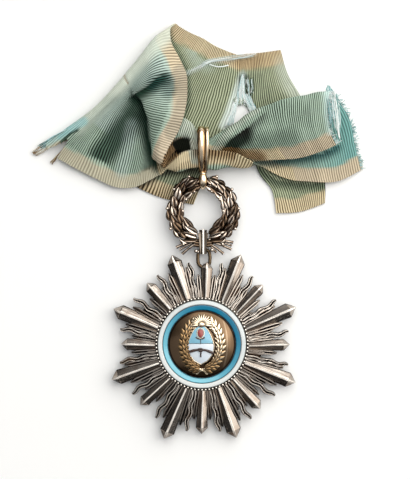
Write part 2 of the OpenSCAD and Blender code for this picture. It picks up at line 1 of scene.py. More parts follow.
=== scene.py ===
import bpy
import mathutils
import numpy as np
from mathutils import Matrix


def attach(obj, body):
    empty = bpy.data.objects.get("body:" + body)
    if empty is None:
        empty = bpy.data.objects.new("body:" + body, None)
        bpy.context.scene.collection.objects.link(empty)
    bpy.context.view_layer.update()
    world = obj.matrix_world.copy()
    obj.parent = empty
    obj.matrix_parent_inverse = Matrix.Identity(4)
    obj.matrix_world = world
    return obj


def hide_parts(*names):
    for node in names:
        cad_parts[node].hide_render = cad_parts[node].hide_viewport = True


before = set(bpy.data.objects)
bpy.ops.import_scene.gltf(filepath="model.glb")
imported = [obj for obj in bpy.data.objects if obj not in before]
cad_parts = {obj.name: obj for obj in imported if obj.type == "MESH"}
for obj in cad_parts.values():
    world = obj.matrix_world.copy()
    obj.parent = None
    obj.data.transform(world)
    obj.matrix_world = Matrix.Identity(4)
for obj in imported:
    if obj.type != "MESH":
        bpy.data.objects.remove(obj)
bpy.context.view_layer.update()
print("frame loaded:", len(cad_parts), "nodes")

mm = 0.001  # every table below is in millimetres


# Shapes: helpers

# Vectors brought to length 1
def unit(vectors):
    return vectors / np.maximum(np.linalg.norm(vectors, axis=-1, keepdims=True), 1e-9)


# Angles of so many even steps round a circle
def roundAngles(steps):
    return np.linspace(0, 2 * np.pi, steps, endpoint=False)


# A smooth curve through the entries of a table, read at fractional places along it: each
# entry is passed with the slope of the line between its neighbours
def smoothCurve(table, places):
    table = np.asarray(table, float)
    places = np.asarray(places, float)
    i = np.clip(np.floor(places).astype(int), 0, len(table) - 2)
    u = (places - i).reshape((-1,) + (1,) * (table.ndim - 1))
    a = table[np.maximum(i - 1, 0)]
    b = table[i]
    c = table[i + 1]
    d = table[np.minimum(i + 2, len(table) - 1)]
    return b + 0.5 * u * (c - a + u * (2 * a - 5 * b + 4 * c - d + u * (3 * b - 3 * c + d - a)))


# Walls and end caps for a row of closed bars, each of several stations with the same number
# of corners
def barFaces(count, stations, sides):
    bar = np.arange(count)[:, None, None] * stations * sides
    station = np.arange(stations - 1)[None, :, None] * sides
    corner = np.arange(sides)[None, None, :]
    after = (corner + 1) % sides
    low = bar + station
    walls = np.stack([low + corner, low + after, low + sides + after, low + sides + corner], -1)
    ring = np.arange(sides)
    first = bar[:, 0, :] + ring[::-1]
    last = bar[:, 0, :] + (stations - 1) * sides + ring
    return [walls.reshape(-1, 4), np.concatenate([first, last])]


# Faces of a grid of points, joined end to start along either way when asked
def gridFaces(rows, cols, wrapRows=False, wrapCols=False):
    i = np.arange(rows if wrapRows else rows - 1)[:, None]
    j = np.arange(cols if wrapCols else cols - 1)[None, :]
    ni, nj = (i + 1) % rows, (j + 1) % cols
    return [np.stack([i * cols + j, i * cols + nj, ni * cols + nj, ni * cols + j], -1).reshape(-1, 4)]


# Volume inside a closed set of faces: the sum of the pyramids from the origin to each face
def enclosed(points, faces):
    total = 0.0
    for face in faces:
        for k in range(1, face.shape[1] - 1):
            a, b, c = points[face[:, 0]], points[face[:, k]], points[face[:, k + 1]]
            total += np.einsum("ij,ij->i", a, np.cross(b, c)).sum()
    return total


# One closed part: its points as a flat list, its faces turned to point outwards, and each
# point's tone from dark (0) to bright (1): wear on most pieces, with painted light on some
def solid(points, faces, toneLevel=0.5):
    points = np.asarray(points, float)
    toneLevel = np.broadcast_to(toneLevel, points.shape[:-1]).ravel()
    points = points.reshape(-1, 3)
    if enclosed(points, faces) < 0:
        faces = [face[:, ::-1] for face in faces]
    return points, faces, toneLevel


def bars(points, toneLevel=0.5):
    return solid(points, barFaces(*points.shape[:3]), toneLevel)


# A closed section in radius and height, turned once round the upright axis
def turned(section, steps=96, centre=(0, 0), toneLevel=0.5):
    section = np.asarray(section, float)
    angle = roundAngles(steps)[:, None]
    points = np.stack([centre[0] + section[None, :, 0] * np.cos(angle),
                       centre[1] + section[None, :, 0] * np.sin(angle),
                       section[None, :, 1] + 0 * angle], -1)
    return solid(points, gridFaces(steps, len(section), True, True), toneLevel)


# The same for a section that starts and ends near the axis: the ends are closed by flat caps
def turnedCap(section, steps=96, centre=(0, 0), toneLevel=0.5):
    section = np.asarray(section, float)
    angle = roundAngles(steps)[None, :]
    radius = np.maximum(section[:, :1], 0.01)
    points = np.stack([centre[0] + radius * np.cos(angle), centre[1] + radius * np.sin(angle),
                       section[:, 1:] + 0 * angle], -1)
    return bars(points[None], np.broadcast_to(toneLevel, len(section))[None, :, None])


# Unit vectors along, to the left of and above a set of paths. The left one stays level
def pathFrame(path, up=(0, 0, 1)):
    along = unit(np.gradient(path, axis=-2))
    side = unit(np.cross(np.broadcast_to(np.asarray(up, float), along.shape), along))
    return along, side, np.cross(along, side)


# Round wires: a circle of the given radius carried along each path, flattened when asked
def wires(paths, radius, sides=8, flat=1.0, rubbed=1.0):
    paths = np.asarray(paths, float)
    radius = np.broadcast_to(np.asarray(radius, float), paths.shape[:-1])[..., None, None]
    side, rise = [v[..., None, :] for v in pathFrame(paths)[1:]]
    angle = roundAngles(sides)[:, None]
    toneLevel = rubbed * (0.5 + 0.5 * np.sin(angle[:, 0])) ** 1.5
    return bars(paths[..., None, :] + radius * (np.cos(angle) * side + flat * np.sin(angle) * rise), toneLevel)


# A closed ring: a circle carried round a closed path, with no caps
def ringWire(path, radius, sides=12, up=(0, 0, 1)):
    path = np.asarray(path, float)
    along = unit(np.roll(path, -1, 0) - np.roll(path, 1, 0))
    side = unit(np.cross(np.asarray(up, float), along))
    rise = np.cross(along, side)
    angle = roundAngles(sides)[None, :, None]
    points = path[:, None] + radius * (np.cos(angle) * side[:, None] + np.sin(angle) * rise[:, None])
    toneLevel = 0.5 + 0.5 * rise[:, None, 2] * np.sin(angle[..., 0])
    return solid(points, gridFaces(len(path), sides, True, True), toneLevel)


# Balls: rings from pole to pole, with a small flat cap at each pole
def balls(centres, radius, squash=(1, 1, 1), sides=10, rings=7):
    centres = np.asarray(centres, float).reshape(-1, 1, 1, 3)
    radius = np.broadcast_to(np.asarray(radius, float), (len(centres),)).reshape(-1, 1, 1, 1)
    polar = np.linspace(0.12, np.pi - 0.12, rings)[:, None]
    angle = roundAngles(sides)[None, :]
    unit = np.stack([np.sin(polar) * np.cos(angle), np.sin(polar) * np.sin(angle),
                     np.cos(polar) + 0 * angle], -1)
    return bars(centres + radius * unit[None] * np.asarray(squash, float), 0.5 + 0.5 * unit[..., 2])


# Leaves along +X with an almond outline, closed by a flatter underside. A veined leaf has two
# round lobes with a dark groove between them, a plain one is a single swell. Each leaf has
# its own length and width
leafPlaces = np.array([0.0, 0.08, 0.2, 0.36, 0.52, 0.68, 0.82, 0.93, 1.0])
leafAcross = np.array([-1, -0.85, -0.5, -0.13, 0, 0.13, 0.5, 0.85, 1, 0.55, 0, -0.55])
veinedLeaf = {"lift": [0, 0.55, 1, 0.85, 0.6, 0.85, 1, 0.55, 0, -0.4, -0.5, -0.4],
              "toneLevel": [0, 0.2, 0.95, 0.6, 0, 0.6, 0.95, 0.2, 0, 0, 0, 0]}
plainLeaf = {"lift": [0, 0.5, 0.85, 1, 1, 1, 0.85, 0.5, 0, -0.4, -0.5, -0.4],
             "toneLevel": [0, 0.1, 0.7, 1, 1, 1, 0.7, 0.1, 0, 0, 0, 0]}


def leafShape(kind, long, wide, thick, count=1):
    v = leafPlaces[None, :, None]
    half = 0.5 * np.sin(np.pi * v ** 0.8) ** 0.75 + 0.03
    long, wide, thick = [np.broadcast_to(np.asarray(t, float), (count,))[:, None, None]
                         for t in (long, wide, thick)]
    x = long * v + 0 * leafAcross
    y = wide * half * leafAcross
    z = thick * (0.25 + 1.5 * half) * 0.5 * np.array(kind["lift"])
    return np.stack([x, y, z + 0 * x], -1)


# Turns and sets down a batch of shapes: each by its own three axes and its own place
def placed(shapes, alongAxis, sideAxis, upAxis, places):
    axes = np.stack([alongAxis, sideAxis, upAxis], -2)
    return np.einsum("nabk,nkc->nabc", shapes, axes) + places[:, None, None, :]


# A place on the plane with a heading: the axes of something that lies flat there
def flatAxes(heading, tilt=0.0, roll=0.0):
    heading, tilt, roll = np.broadcast_arrays(*[np.asarray(t, float) for t in (heading, tilt, roll)])
    along = np.stack([np.cos(heading) * np.cos(tilt), np.sin(heading) * np.cos(tilt), np.sin(tilt)], -1)
    level = np.stack([-np.sin(heading), np.cos(heading), 0 * heading], -1)
    up = np.cross(along, level)
    side = np.cos(roll)[..., None] * level + np.sin(roll)[..., None] * up
    return along, side, np.cross(along, side)


# An object at the origin that holds some data, linked to the scene
def addObject(name, data):
    thing = bpy.data.objects.new(name, data)
    bpy.context.scene.collection.objects.link(thing)
    return thing


# Several closed parts as one mesh, made an object at the origin
def newPiece(name, parts, material, nodes=(), smooth=35, bevel=0.0, colours=None, uv=None):
    offset, verts, faceSets, toneLevels = 0, [], [], []
    for points, faces, toneLevel in parts:
        verts.append(points)
        toneLevels.append(toneLevel)
        faceSets += [face + offset for face in faces]
        offset += len(points)
    verts = np.concatenate(verts) * mm
    corners = np.concatenate([face.ravel() for face in faceSets])
    totals = np.concatenate([np.full(len(face), face.shape[1]) for face in faceSets])
    mesh = bpy.data.meshes.new(name)
    mesh.vertices.add(len(verts))
    mesh.vertices.foreach_set("co", verts.ravel())
    mesh.loops.add(len(corners))
    mesh.loops.foreach_set("vertex_index", corners)
    mesh.polygons.add(len(totals))
    mesh.polygons.foreach_set("loop_start", np.concatenate([[0], np.cumsum(totals)[:-1]]))
    mesh.update(calc_edges=True)
    if uv is not None:
        layer = mesh.uv_layers.new(name="millimetres")
        layer.data.foreach_set("uv", uv[corners].ravel())
    if colours is None:
        colours = np.concatenate(toneLevels)[:, None].repeat(3, 1)
    tint = mesh.color_attributes.new("tone", "FLOAT_COLOR", "POINT")
    if colours.shape[1] == 3:
        colours = np.concatenate([colours, np.ones((len(colours), 1))], 1)
    tint.data.foreach_set("color", colours.ravel())
    mesh.validate()
    mesh.shade_smooth()
    if smooth < 180:
        mesh.set_sharp_from_angle(angle=np.radians(smooth))
    mesh.materials.append(material)
    piece = addObject(name, mesh)
    if bevel:
        edge = piece.modifiers.new("softEdge", "BEVEL")
        edge.width = bevel * mm
        edge.segments = 2
        edge.limit_method = "ANGLE"
        edge.angle_limit = np.radians(28)
    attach(piece, "root")
    if nodes:
        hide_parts(*nodes)
    print("piece", name, len(totals), "faces")
    return piece


# Materials: helpers

# sRGB hex colour to the linear values that the shaders read
def hexColour(code):
    value = np.array([int(code[k:k + 2], 16) for k in (1, 3, 5)]) / 255
    return np.where(value <= 0.04045, value / 12.92, ((value + 0.055) / 1.055) ** 2.4)


def rgba(code):
    return (*hexColour(code), 1.0)


# Fills inputs of a node by name or number, each with a plain value or another node's socket
def fill(tree, node, values):
    for key, value in values.items():
        socket = node.inputs[key]
        if isinstance(value, bpy.types.NodeSocket):
            tree.links.new(value, socket)
        else:
            socket.default_value = value
    return node


# Adds one node: settings are its own properties, links its inputs
def addNode(tree, kind, settings=None, links=None):
    node = tree.nodes.new(kind)
    for key, value in (settings or {}).items():
        setattr(node, key, value)
    return fill(tree, node, links or {})


# The next ones add a node that most materials need, and return its output
def mathOf(tree, operation, *values, clamp=False):
    return addNode(tree, "ShaderNodeMath", {"operation": operation, "use_clamp": clamp},
                   dict(enumerate(values))).outputs[0]


def vectorOf(tree, operation, output, *values):
    return addNode(tree, "ShaderNodeVectorMath", {"operation": operation},
                   dict(enumerate(values))).outputs[output]


def noiseOf(tree, place, scale, detail, rough=0.5):
    return addNode(tree, "ShaderNodeTexNoise", links={
        "Vector": place, "Scale": scale, "Detail": detail, "Roughness": rough}).outputs["Fac"]


def rangeOf(tree, value, fromLow, fromHigh, toLow=0.0, toHigh=1.0):
    return addNode(tree, "ShaderNodeMapRange", links={
        "Value": value, "From Min": fromLow, "From Max": fromHigh,
        "To Min": toLow, "To Max": toHigh}).outputs["Result"]


def mixOf(tree, share, first, second, blend="MIX"):
    return addNode(tree, "ShaderNodeMix", {"data_type": "RGBA", "blend_type": blend}, {
        "Factor": share, "A": first, "B": second}).outputs["Result"]


def scaledOf(tree, place, scale):
    return addNode(tree, "ShaderNodeMapping", links={"Vector": place, "Scale": scale}).outputs[0]


def bumpOf(tree, height, strength, distance, under=None):
    node = addNode(tree, "ShaderNodeBump", links={
        "Height": height, "Strength": strength, "Distance": distance * mm})
    if under is not None:
        fill(tree, node, {"Normal": under})
    return node.outputs["Normal"]


# The tone attribute and the millimetre UV map that newPiece stores
def toneOf(tree):
    return addNode(tree, "ShaderNodeVertexColor", {"layer_name": "tone"}).outputs


def millimetresOf(tree):
    return addNode(tree, "ShaderNodeUVMap", {"uv_map": "millimetres"}).outputs[0]


def addRamp(tree, source, stops):
    ramp = addNode(tree, "ShaderNodeValToRGB", links={"Fac": source})
    band = ramp.color_ramp
    while len(band.elements) < len(stops):
        band.elements.new(0.5)
    for element, (place, colour) in zip(band.elements, stops):
        element.position = place
        element.color = rgba(colour) if isinstance(colour, str) else (colour, colour, colour, 1)
    return ramp.outputs["Color"]


def newMaterial(name):
    material = bpy.data.materials.new(name)
    material.use_nodes = True
    tree = material.node_tree
    tree.nodes.clear()
    shader = addNode(tree, "ShaderNodeBsdfPrincipled")
    addNode(tree, "ShaderNodeOutputMaterial", links={"Surface": shader.outputs[0]})
    return material, tree, shader


# Old metal: nearly black in the hollows and bright where it is rubbed, as the piece's tone
# attribute says (on some pieces it also carries painted light), stained in patches, its polish
# broken up a little. Patch is the size of the patches in mm, and the stains are stainSize times as large
stainSize = 2.7


def oldMetal(name, dark, middle, bright, stain, rough=0.2, patch=2.2, stainShare=0.35,
             uneven=0.16, dent=0.05, streaks=0.0):
    material, tree, shader = newMaterial(name)
    place = addNode(tree, "ShaderNodeTexCoord").outputs["Object"]
    toneLevel = addNode(tree, "ShaderNodeSeparateColor", links={0: toneOf(tree)["Color"]}).outputs[0]
    patches = noiseOf(tree, place, 1 / (patch * mm), 4.0, 0.6)
    wobble = mathOf(tree, "MULTIPLY_ADD", patches, 2 * uneven, -uneven)
    rampLevel = mathOf(tree, "ADD", toneLevel, wobble)
    bump = bumpOf(tree, patches, dent, 0.3)
    if streaks:
        # file marks along a ray: its own millimetres are its UV, across and along
        marks = noiseOf(tree, scaledOf(tree, millimetresOf(tree), (1.7, 0.11, 1)), 1.0, 2.0, 0.6)
        wobble = mathOf(tree, "MULTIPLY_ADD", marks, 2 * streaks, -streaks)
        rampLevel = mathOf(tree, "ADD", rampLevel, wobble)
        bump = bumpOf(tree, marks, 0.5, 0.14, bump)
    colour = addRamp(tree, rampLevel, [(0.04, dark), (0.4, middle), (0.66, middle), (0.97, bright)])
    stained = noiseOf(tree, place, 1 / (stainSize * patch * mm), 5.0, 0.65)
    colour = mixOf(tree, rangeOf(tree, stained, 0.5, 0.72, 0.0, stainShare), colour, rgba(stain))
    polish = rangeOf(tree, patches, 0.3, 0.75, rough - 0.06, rough + 0.1)
    fill(tree, shader, {"Base Color": colour, "Metallic": 1.0, "Roughness": polish, "Normal": bump})
    return material


# Fired glass enamel: even colour with slight clouding, a clear gloss and tiny pits. The paler
# colour given as faded is painted light: it comes in towards the lower left of the badge, as the dot
# product of a place in mm with the axis below. Rims are the two radii of a ring and the shade where it
# meets its metal there
litAxis = (-0.62, -0.78)


def enamel(name, colour, deep, rough=0.12, faded=None, rims=None):
    material, tree, shader = newMaterial(name)
    place = addNode(tree, "ShaderNodeTexCoord").outputs["Object"]
    glass = addRamp(tree, noiseOf(tree, place, 1 / (3.5 * mm), 4.0, 0.6), [(0.3, deep), (0.65, colour)])
    # painted light: the paler colour comes in towards the lower left
    if faded:
        axis = (litAxis[0] / mm, litAxis[1] / mm, 0)
        share = rangeOf(tree, vectorOf(tree, "DOT_PRODUCT", "Value", place, axis), -9, 12)
        glass = mixOf(tree, share, glass, rgba(faded))
    if rims:
        inner, outer, shade = rims
        flat = vectorOf(tree, "MULTIPLY", "Vector", place, (1 / mm, 1 / mm, 0))
        across = rangeOf(tree, vectorOf(tree, "LENGTH", "Value", flat), inner, outer)
        edges = addRamp(tree, across, [(0.02, shade), (0.2, "#ffffff"), (0.8, "#ffffff"), (0.98, shade)])
        glass = mixOf(tree, 1.0, glass, edges, "MULTIPLY")
    pits = noiseOf(tree, place, 1 / (0.5 * mm), 2.0)
    fill(tree, shader, {
        "Base Color": glass, "Roughness": rough, "IOR": 1.52, "Coat Weight": 0.4,
        "Coat Roughness": 0.05, "Normal": bumpOf(tree, pits, 0.08, 0.1)})
    return material


# Cast silver gone warm grey: black between the rays, bright on ridges and worn edges
tarnishedSilver = oldMetal("tarnished cast silver", "#14100d", "#ada399", "#f8f0e5", "#7c5f45",
                           rough=0.14, stainShare=0.45, uneven=0.12, dent=0.03, streaks=0.4)
# Turned silver plate of the back: flat, only lightly worn
turnedSilver = oldMetal("turned silver plate", "#6d665d", "#9a9389", "#b5aea4", "#75634f",
                        rough=0.3, patch=4.0)
# Beaded silver rim: bright beads, black in the gaps
beadedSilver = oldMetal("beaded silver", "#0d0a08", "#857d74", "#ebe4da", "#7d6a58",
                        rough=0.16, patch=1.2, stainShare=0.15)
# Polished gilt of the dome, brown with age: mirrors the room in broad soft patches
agedGilt = oldMetal("aged gilt, polished", "#1a120d", "#6f5a45", "#d9c4a8", "#43301f",
                    rough=0.2, patch=3.0, stainShare=0.4, uneven=0.06, dent=0.02)
# Cast gilt of the arms' laurel: cream where rubbed, brown in the hollows
rubbedGilt = oldMetal("cast gilt, rubbed bright", "#26180e", "#a6865e", "#fbecd0", "#7d5738",
                      rough=0.22, patch=0.9, stainShare=0.2)
# Cast gilt of the wreath, nearly brown, with bright worn lobes
brownGilt = oldMetal("cast gilt, browned", "#130d09", "#6d5a49", "#eedfcf", "#45311f",
                     rough=0.2, patch=1.4, stainShare=0.4, uneven=0.3)
# Filed silver of the wreath's bar: nearly white along the ridge, brown in the grooves
barSilver = oldMetal("filed silver bar", "#1f1914", "#7d7266", "#fffaf0", "#5d4b3c",
                     rough=0.18, patch=1.5)
# Rose gilt of the bail: polished and warm, cream on its ridges
roseGilt = oldMetal("polished rose gilt", "#3d2a1c", "#b59268", "#fbe6c8", "#7d5c40",
                    rough=0.16, patch=2.5, stainShare=0.25, dent=0.03)
# Drawn gilt wire of the ring: dull and dark
wireGilt = oldMetal("drawn gilt wire", "#120d09", "#3a2f24", "#665541", "#2e2218", rough=0.24, patch=1.0)

print("metals ready")


# The star
star = {
    "centre": (0.8, -1.2), "turn": -1.3, "base": 2.26, "inner": 13.8,
    "largeTip": 34.5, "smallTip": 29.8, "flameTip": 29.9,
    "largeWide": 5.2, "smallWide": 4.1, "high": 2.9, "smallHighShare": 0.88, "edgeHigh": 1.2,
    # each crystal's lean in degrees and how much further it reaches
    "largeLean": [-2.2, -2.4, -2.5, 1.7, -0.1, 1.9, -1.0, 1.9],
    "smallLean": [0.6, -3.0, -3.0, 1.3, 0.4, 1.6, 0.9, 1.9],
    "largeReach": [0.1, 0.3, -0.4, -1.0, 0.4, -0.3, -0.2, -0.5],
    "smallReach": [-0.1, 0, 0, -0.7, 0.5, 0.3, -0.8, 0.2],
    # flames: half width and height at the hub, swing in mm, degrees of the sine from hub to tip
    "flames": 16, "flameHalf": 1.02, "flameHigh": 1.9, "flameSwing": 0.42, "flameDegrees": 1000,
    # plain rays on both sides of the crystals: which ones, how much shorter than their tips,
    # width, height, and degrees away from them
    "slimRays": [("large", 6, 2.1, 1.9, 6.5), ("large", 9.6, 1.8, 1.5, 9.2),
                 ("small", 4.4, 1.9, 1.6, 6.5)],
    # low rays that fill every gap near the hub, with three lengths in turn
    "lowRays": 60, "lowTip": 20.6, "lowStep": 0.7, "lowWide": 1.7, "lowHigh": 1.0,
    # the plate under the rays and the hub under the medallion: radius, bottom and top
    "plate": (20, 2.26, 2.76), "hub": (15.6, 2.3, 4.96),
    # the eye on the back: its middle, and the radius of its wire
    "eye": (0.75, 26.6, 1.5), "eyeWire": 0.33,
}


# Rays drawn along +Y are turned by their angles about the star's centre
def rayTurned(shapes, angles):
    angles = np.radians(np.asarray(angles, float))[:, None, None]
    x, y, z = shapes[..., 0], shapes[..., 1], shapes[..., 2]
    return np.stack([star["centre"][0] + x * np.cos(angles) - y * np.sin(angles),
                     star["centre"][1] + x * np.sin(angles) + y * np.cos(angles),
                     star["base"] + z], -1)


# Stations of a crystal from the hub to its tip: distance back from the tip as a share of its
# width (the hub sets the first two), width as a share of the full width, half width in mm of the
# ridge on a crystal ridgeFor wide, height of the ridge as a share of the crystal's, and height of
# the side walls as a share of edgeHigh
crystal = {
    "back": [0, 0, 0.56, 0.52, 0.49, 0.3, 0.08, 0],
    "half": [0.6, 0.8, 1.0, 0.96, 0.91, 0.58, 0.18, 0.03],
    "ridge": [0.2, 0.24, 0.3, 0.28, 0.25, 0.18, 0.08, 0.02], "ridgeFor": 4.7,
    "top": [0.85, 0.93, 1.0, 1.0, 0.99, 0.95, 0.82, 0.6],
    "edge": [1, 1, 1, 0.95, 0.92, 0.8, 0.6, 0.5],
}


# A crystal: low side walls, two sloping facets and a narrow flat ridge, with a dark line
# along each edge. It widens outwards to its shoulders, and the ridge runs on to the tip
# between two more facets
def crystalRays(tips, wide, high):
    tips = np.asarray(tips, float)[:, None]
    y = tips - np.array(crystal["back"]) * wide
    y[:, 0], y[:, 1] = star["inner"], 0.5 * (star["inner"] + tips[:, 0] - 0.55 * wide)
    half = 0.5 * wide * np.array(crystal["half"])
    top = high * np.array(crystal["top"])
    edge = np.minimum(star["edgeHigh"] * np.array(crystal["edge"]), top - 0.05)
    ridge = np.array(crystal["ridge"]) * wide / crystal["ridgeFor"]
    # points down a facet: inside the dark line, its two sides, and beside the ridge
    line, inside, beside = [ridge + t * (half - ridge) for t in (0.91, 0.84, 0.16)]
    under, over, below = [edge + t * (top - edge) for t in (0.09, 0.16, 0.84)]
    x = np.stack([-half, half, half, line, inside, beside, ridge,
                  -ridge, -beside, -inside, -line, -half], 1)
    z = np.stack([0 * half, 0 * half, edge, under, over, below, top,
                  top, below, over, under, edge], 1)
    x, z = [np.broadcast_to(t, (len(tips),) + t.shape) for t in (x, z)]
    return np.stack([x, y[..., None] + 0 * x, z], -1)


facetRng = np.random.default_rng(5)
facetLight = np.radians(55)


# Tone of the crystals at the given angles: ridge bright and edges black from wear, and on each
# facet painted light, brighter the more it faces the upper right of the picture, as the cosine of
# the angle between them. The two facets at the tip face further outwards, and their painted light is
# further apart
def crystalWearAndLight(angles):
    turned = np.radians(angles)[:, None]
    uneven = facetRng.uniform(-0.1, 0.1, (len(angles), 2))
    # painted light on the facets by the way they face, with a random share of tone
    body = 0.49 + 0.15 * np.cos(turned + np.array([0, np.pi]) - facetLight) + uneven
    tip = 0.34 + 0.3 * np.cos(turned + np.array([0.25, 0.75]) * np.pi - facetLight)
    facets = np.stack([body] * 4 + [tip] * 4, 1)
    right, left = facets[..., 0], facets[..., 1]
    edge, ridge = 0 * right, 0.95 + 0 * right
    return np.stack([edge] * 4 + [right, right, ridge, ridge, left, left, edge, edge], -1)


# A plain straight ray: two sharp ridges with a groove between them, cut off slanting
def slimRays(tips, wide, high):
    tips = np.asarray(tips, float)
    y = np.stack([np.full_like(tips, star["inner"]), tips - wide, tips], 1)[..., None]
    across = np.array([-1, 1, 1, 0.68, 0.36, 0.12, -0.12, -0.36, -0.68, -1])
    lift = np.array([0, 0, 0.3, 1, 1, 0.35, 0.35, 1, 1, 0.3])
    half = 0.5 * wide * np.array([0.75, 1.0, 0.25])[:, None]
    top = high * np.array([1.0, 0.85, 0.35])[:, None]
    x, z = [np.broadcast_to(t, (len(tips),) + t.shape) for t in (half * across, top * lift)]
    return np.stack([x, y + 0 * x, z], -1)


slimWear = np.array([0.0, 0.0, 0.0, 0.35, 0.5, 0.0, 0.0, 0.5, 0.35, 0.0])


# A flame ray: two rounded ridges with a dark groove between them, on a middle line that
# swings from side to side as a growing sine wave
def flameRays(count, stations=48):
    v = np.linspace(0, 1, stations)[:, None]
    across = np.array([-1, -0.96, -0.78, -0.7, -0.42, -0.26, 0.26, 0.42, 0.7, 0.78, 0.96, 1])
    lift = np.array([0, 0.6, 0.92, 1.0, 1.0, 0.35, 0.35, 1.0, 1.0, 0.92, 0.6, 0])
    turn = np.radians(star["flameDegrees"] * v + 30)
    middle = star["flameSwing"] * (0.35 + 0.65 * v) * np.sin(turn)
    blunt = np.sqrt(np.clip((1.01 - v) / 0.12, 0, 1))
    x = middle + (star["flameHalf"] - 0.13 * v) * across * (0.2 + 0.8 * blunt)
    z = (star["flameHigh"] - 0.6 * v) * lift
    y = star["inner"] + (star["flameTip"] - star["inner"]) * v + 0 * across
    return np.broadcast_to(np.stack([x, y, z], -1), (count, stations, len(across), 3))


flameWear = np.array([0.0, 0.0, 0.0, 0.6, 1.0, 0.0, 0.0, 1.0, 0.6, 0.0, 0.0, 0.0])
eighths = 45 * np.arange(8)
rayAngles = {"large": star["turn"] - 22.5 - eighths - np.array(star["largeLean"]),
             "small": star["turn"] - eighths - np.array(star["smallLean"])}
largeTips = star["largeTip"] + np.array(star["largeReach"])
smallTips = star["smallTip"] + np.array(star["smallReach"])
starParts, starUv = [], []


# Adds a set of rays, and gives each its own stretch of the file marks
def addRays(shapes, angles, toneLevel):
    starParts.append(bars(rayTurned(shapes, angles), toneLevel))
    apart = 9.0 * np.arange(len(shapes))[:, None, None] + 3.7 * len(starParts)
    starUv.append(np.stack([shapes[..., 0] + apart, shapes[..., 1]], -1).reshape(-1, 2))


# Half section of a plain round block, as radius and height
def blockSection(radius, low, high):
    return [[0, low], [radius, low], [radius, high], [0, high]]


# Path of an upright eye of 1 mm radius, with its axis along x
def eyePath(middle):
    angle = roundAngles(32)
    return np.stack([middle[0] + 0 * angle, middle[1] + np.cos(angle), middle[2] + np.sin(angle)], -1)


for size, tips, high in (("large", largeTips, star["high"]),
                         ("small", smallTips, star["smallHighShare"] * star["high"])):
    addRays(crystalRays(tips, star[size + "Wide"], high), rayAngles[size], crystalWearAndLight(rayAngles[size]))
flameApart = 360 / star["flames"]
flameAngle = star["turn"] - flameApart / 2 - flameApart * np.arange(star["flames"])
addRays(flameRays(star["flames"]), flameAngle, flameWear)
for side in (-1, 1):
    for size, shorter, wide, high, apart in star["slimRays"]:
        tips = [star[size + "Tip"] - shorter] * 8
        addRays(slimRays(tips, wide, high), rayAngles[size] + apart * side, slimWear)
lowRay = np.arange(star["lowRays"])
lowShapes = slimRays(star["lowTip"] + star["lowStep"] * (lowRay % 3), star["lowWide"], star["lowHigh"])
addRays(lowShapes, 360 / star["lowRays"] * lowRay, 0.75 * slimWear)
starParts += [
    turnedCap(blockSection(*star["plate"]), 96, star["centre"], 0),
    turnedCap(blockSection(*star["hub"]), toneLevel=0),
    ringWire(eyePath(star["eye"]), star["eyeWire"], 10, (1, 0, 0)),
]
starUv.append(np.concatenate([part[0][:, :2] for part in starParts[-3:]]))
newPiece("raysAndHub", starParts, tarnishedSilver, ["rayed_star"], smooth=30,
         bevel=0.05, uv=np.concatenate(starUv))

# The back: a plain disc with a slightly raised edge, as radius and height
disc = {"section": [[0, 2.2], [13.9, 2.2], [14, 2.1], [14, 0.12], [13.88, 0], [13.0, 0],
                    [12.8, 0.12], [0, 0.12]]}
newPiece("backDisc", [turnedCap(disc["section"])], turnedSilver, ["reverse_disc"])

# Medallion
medallion = {
    "pearls": 80, "pearlRadius": 0.48, "pearlCircle": 15.86, "pearlHeight": 5.72,
    # the cup's half section, as radius and height
    "cup": [[0, 5.01], [16.2, 5.01], [16.28, 5.1], [16.28, 5.5], [15.5, 5.62], [15.5, 6.02],
            [15.46, 6.06], [15.38, 6.06], [15.35, 6.02], [15.35, 5.51], [0, 5.51]],
    # the enamel rings: their radii, and their tops over ringBase at both edges, then the swell
    "whiteFrom": 13.65, "whiteTo": 15.29, "whiteTop": (0.9, 0.68, 0.05),
    "blueFrom": 11.75, "blueTo": 13.59, "blueTop": (0.45, 0.93, 0.02), "ringBase": 5.57,
    "domeRadius": 11.5, "domeBase": 5.82, "domeHigh": 2.9,
    # the painted reflection strip on the dome: how far right, how much of y squared it bends in by,
    # and its width, then the radius past which the dome is dark
    "stripX": 8.8, "stripBend": 0.02, "stripWide": 0.8, "domeDarkFrom": 11.1,
}
# White glass of the outer ring: bluish grey, with painted light whiter at the lower left, darker at its
# metal
whiteEnamel = enamel("fired white enamel", "#cfd5d5", "#c6cccc", faded="#e9ecea",
                     rims=(medallion["whiteFrom"], medallion["whiteTo"], "#c9cccb"))
# Sky blue glass of the inner ring: with painted light paler at the lower left, deep at its metal
blueEnamel = enamel("fired sky blue enamel", "#0e7fa2", "#0b7698", faded="#6fc0d2",
                    rims=(medallion["blueFrom"], medallion["blueTo"], "#4d7480"))
# Glass of the shield's lower and upper half: cool white and light blue, both glossy
shieldWhiteEnamel = enamel("fired white enamel of the shield", "#dfe6ec", "#cfdae4")
shieldBlueEnamel = enamel("fired pale blue enamel", "#86bcd0", "#76b0c8")
# Red glass of the cap and brown paint of the arms: both duller than the shield
redEnamel = enamel("fired red enamel", "#a8453a", "#7c2c26", rough=0.35)
brownEnamel = enamel("brown painted enamel", "#3d2217", "#26140d", rough=0.4)
print("enamels ready")

pearlAngle = roundAngles(medallion["pearls"])
pearlPlaces = np.stack([medallion["pearlCircle"] * np.cos(pearlAngle),
                        medallion["pearlCircle"] * np.sin(pearlAngle),
                        medallion["pearlHeight"] + 0 * pearlAngle], -1)
newPiece("pearledRim", [turnedCap(medallion["cup"], 144, toneLevel=0.1),
                        balls(pearlPlaces, medallion["pearlRadius"])],
         beadedSilver, ["pearled_cup"], smooth=40)


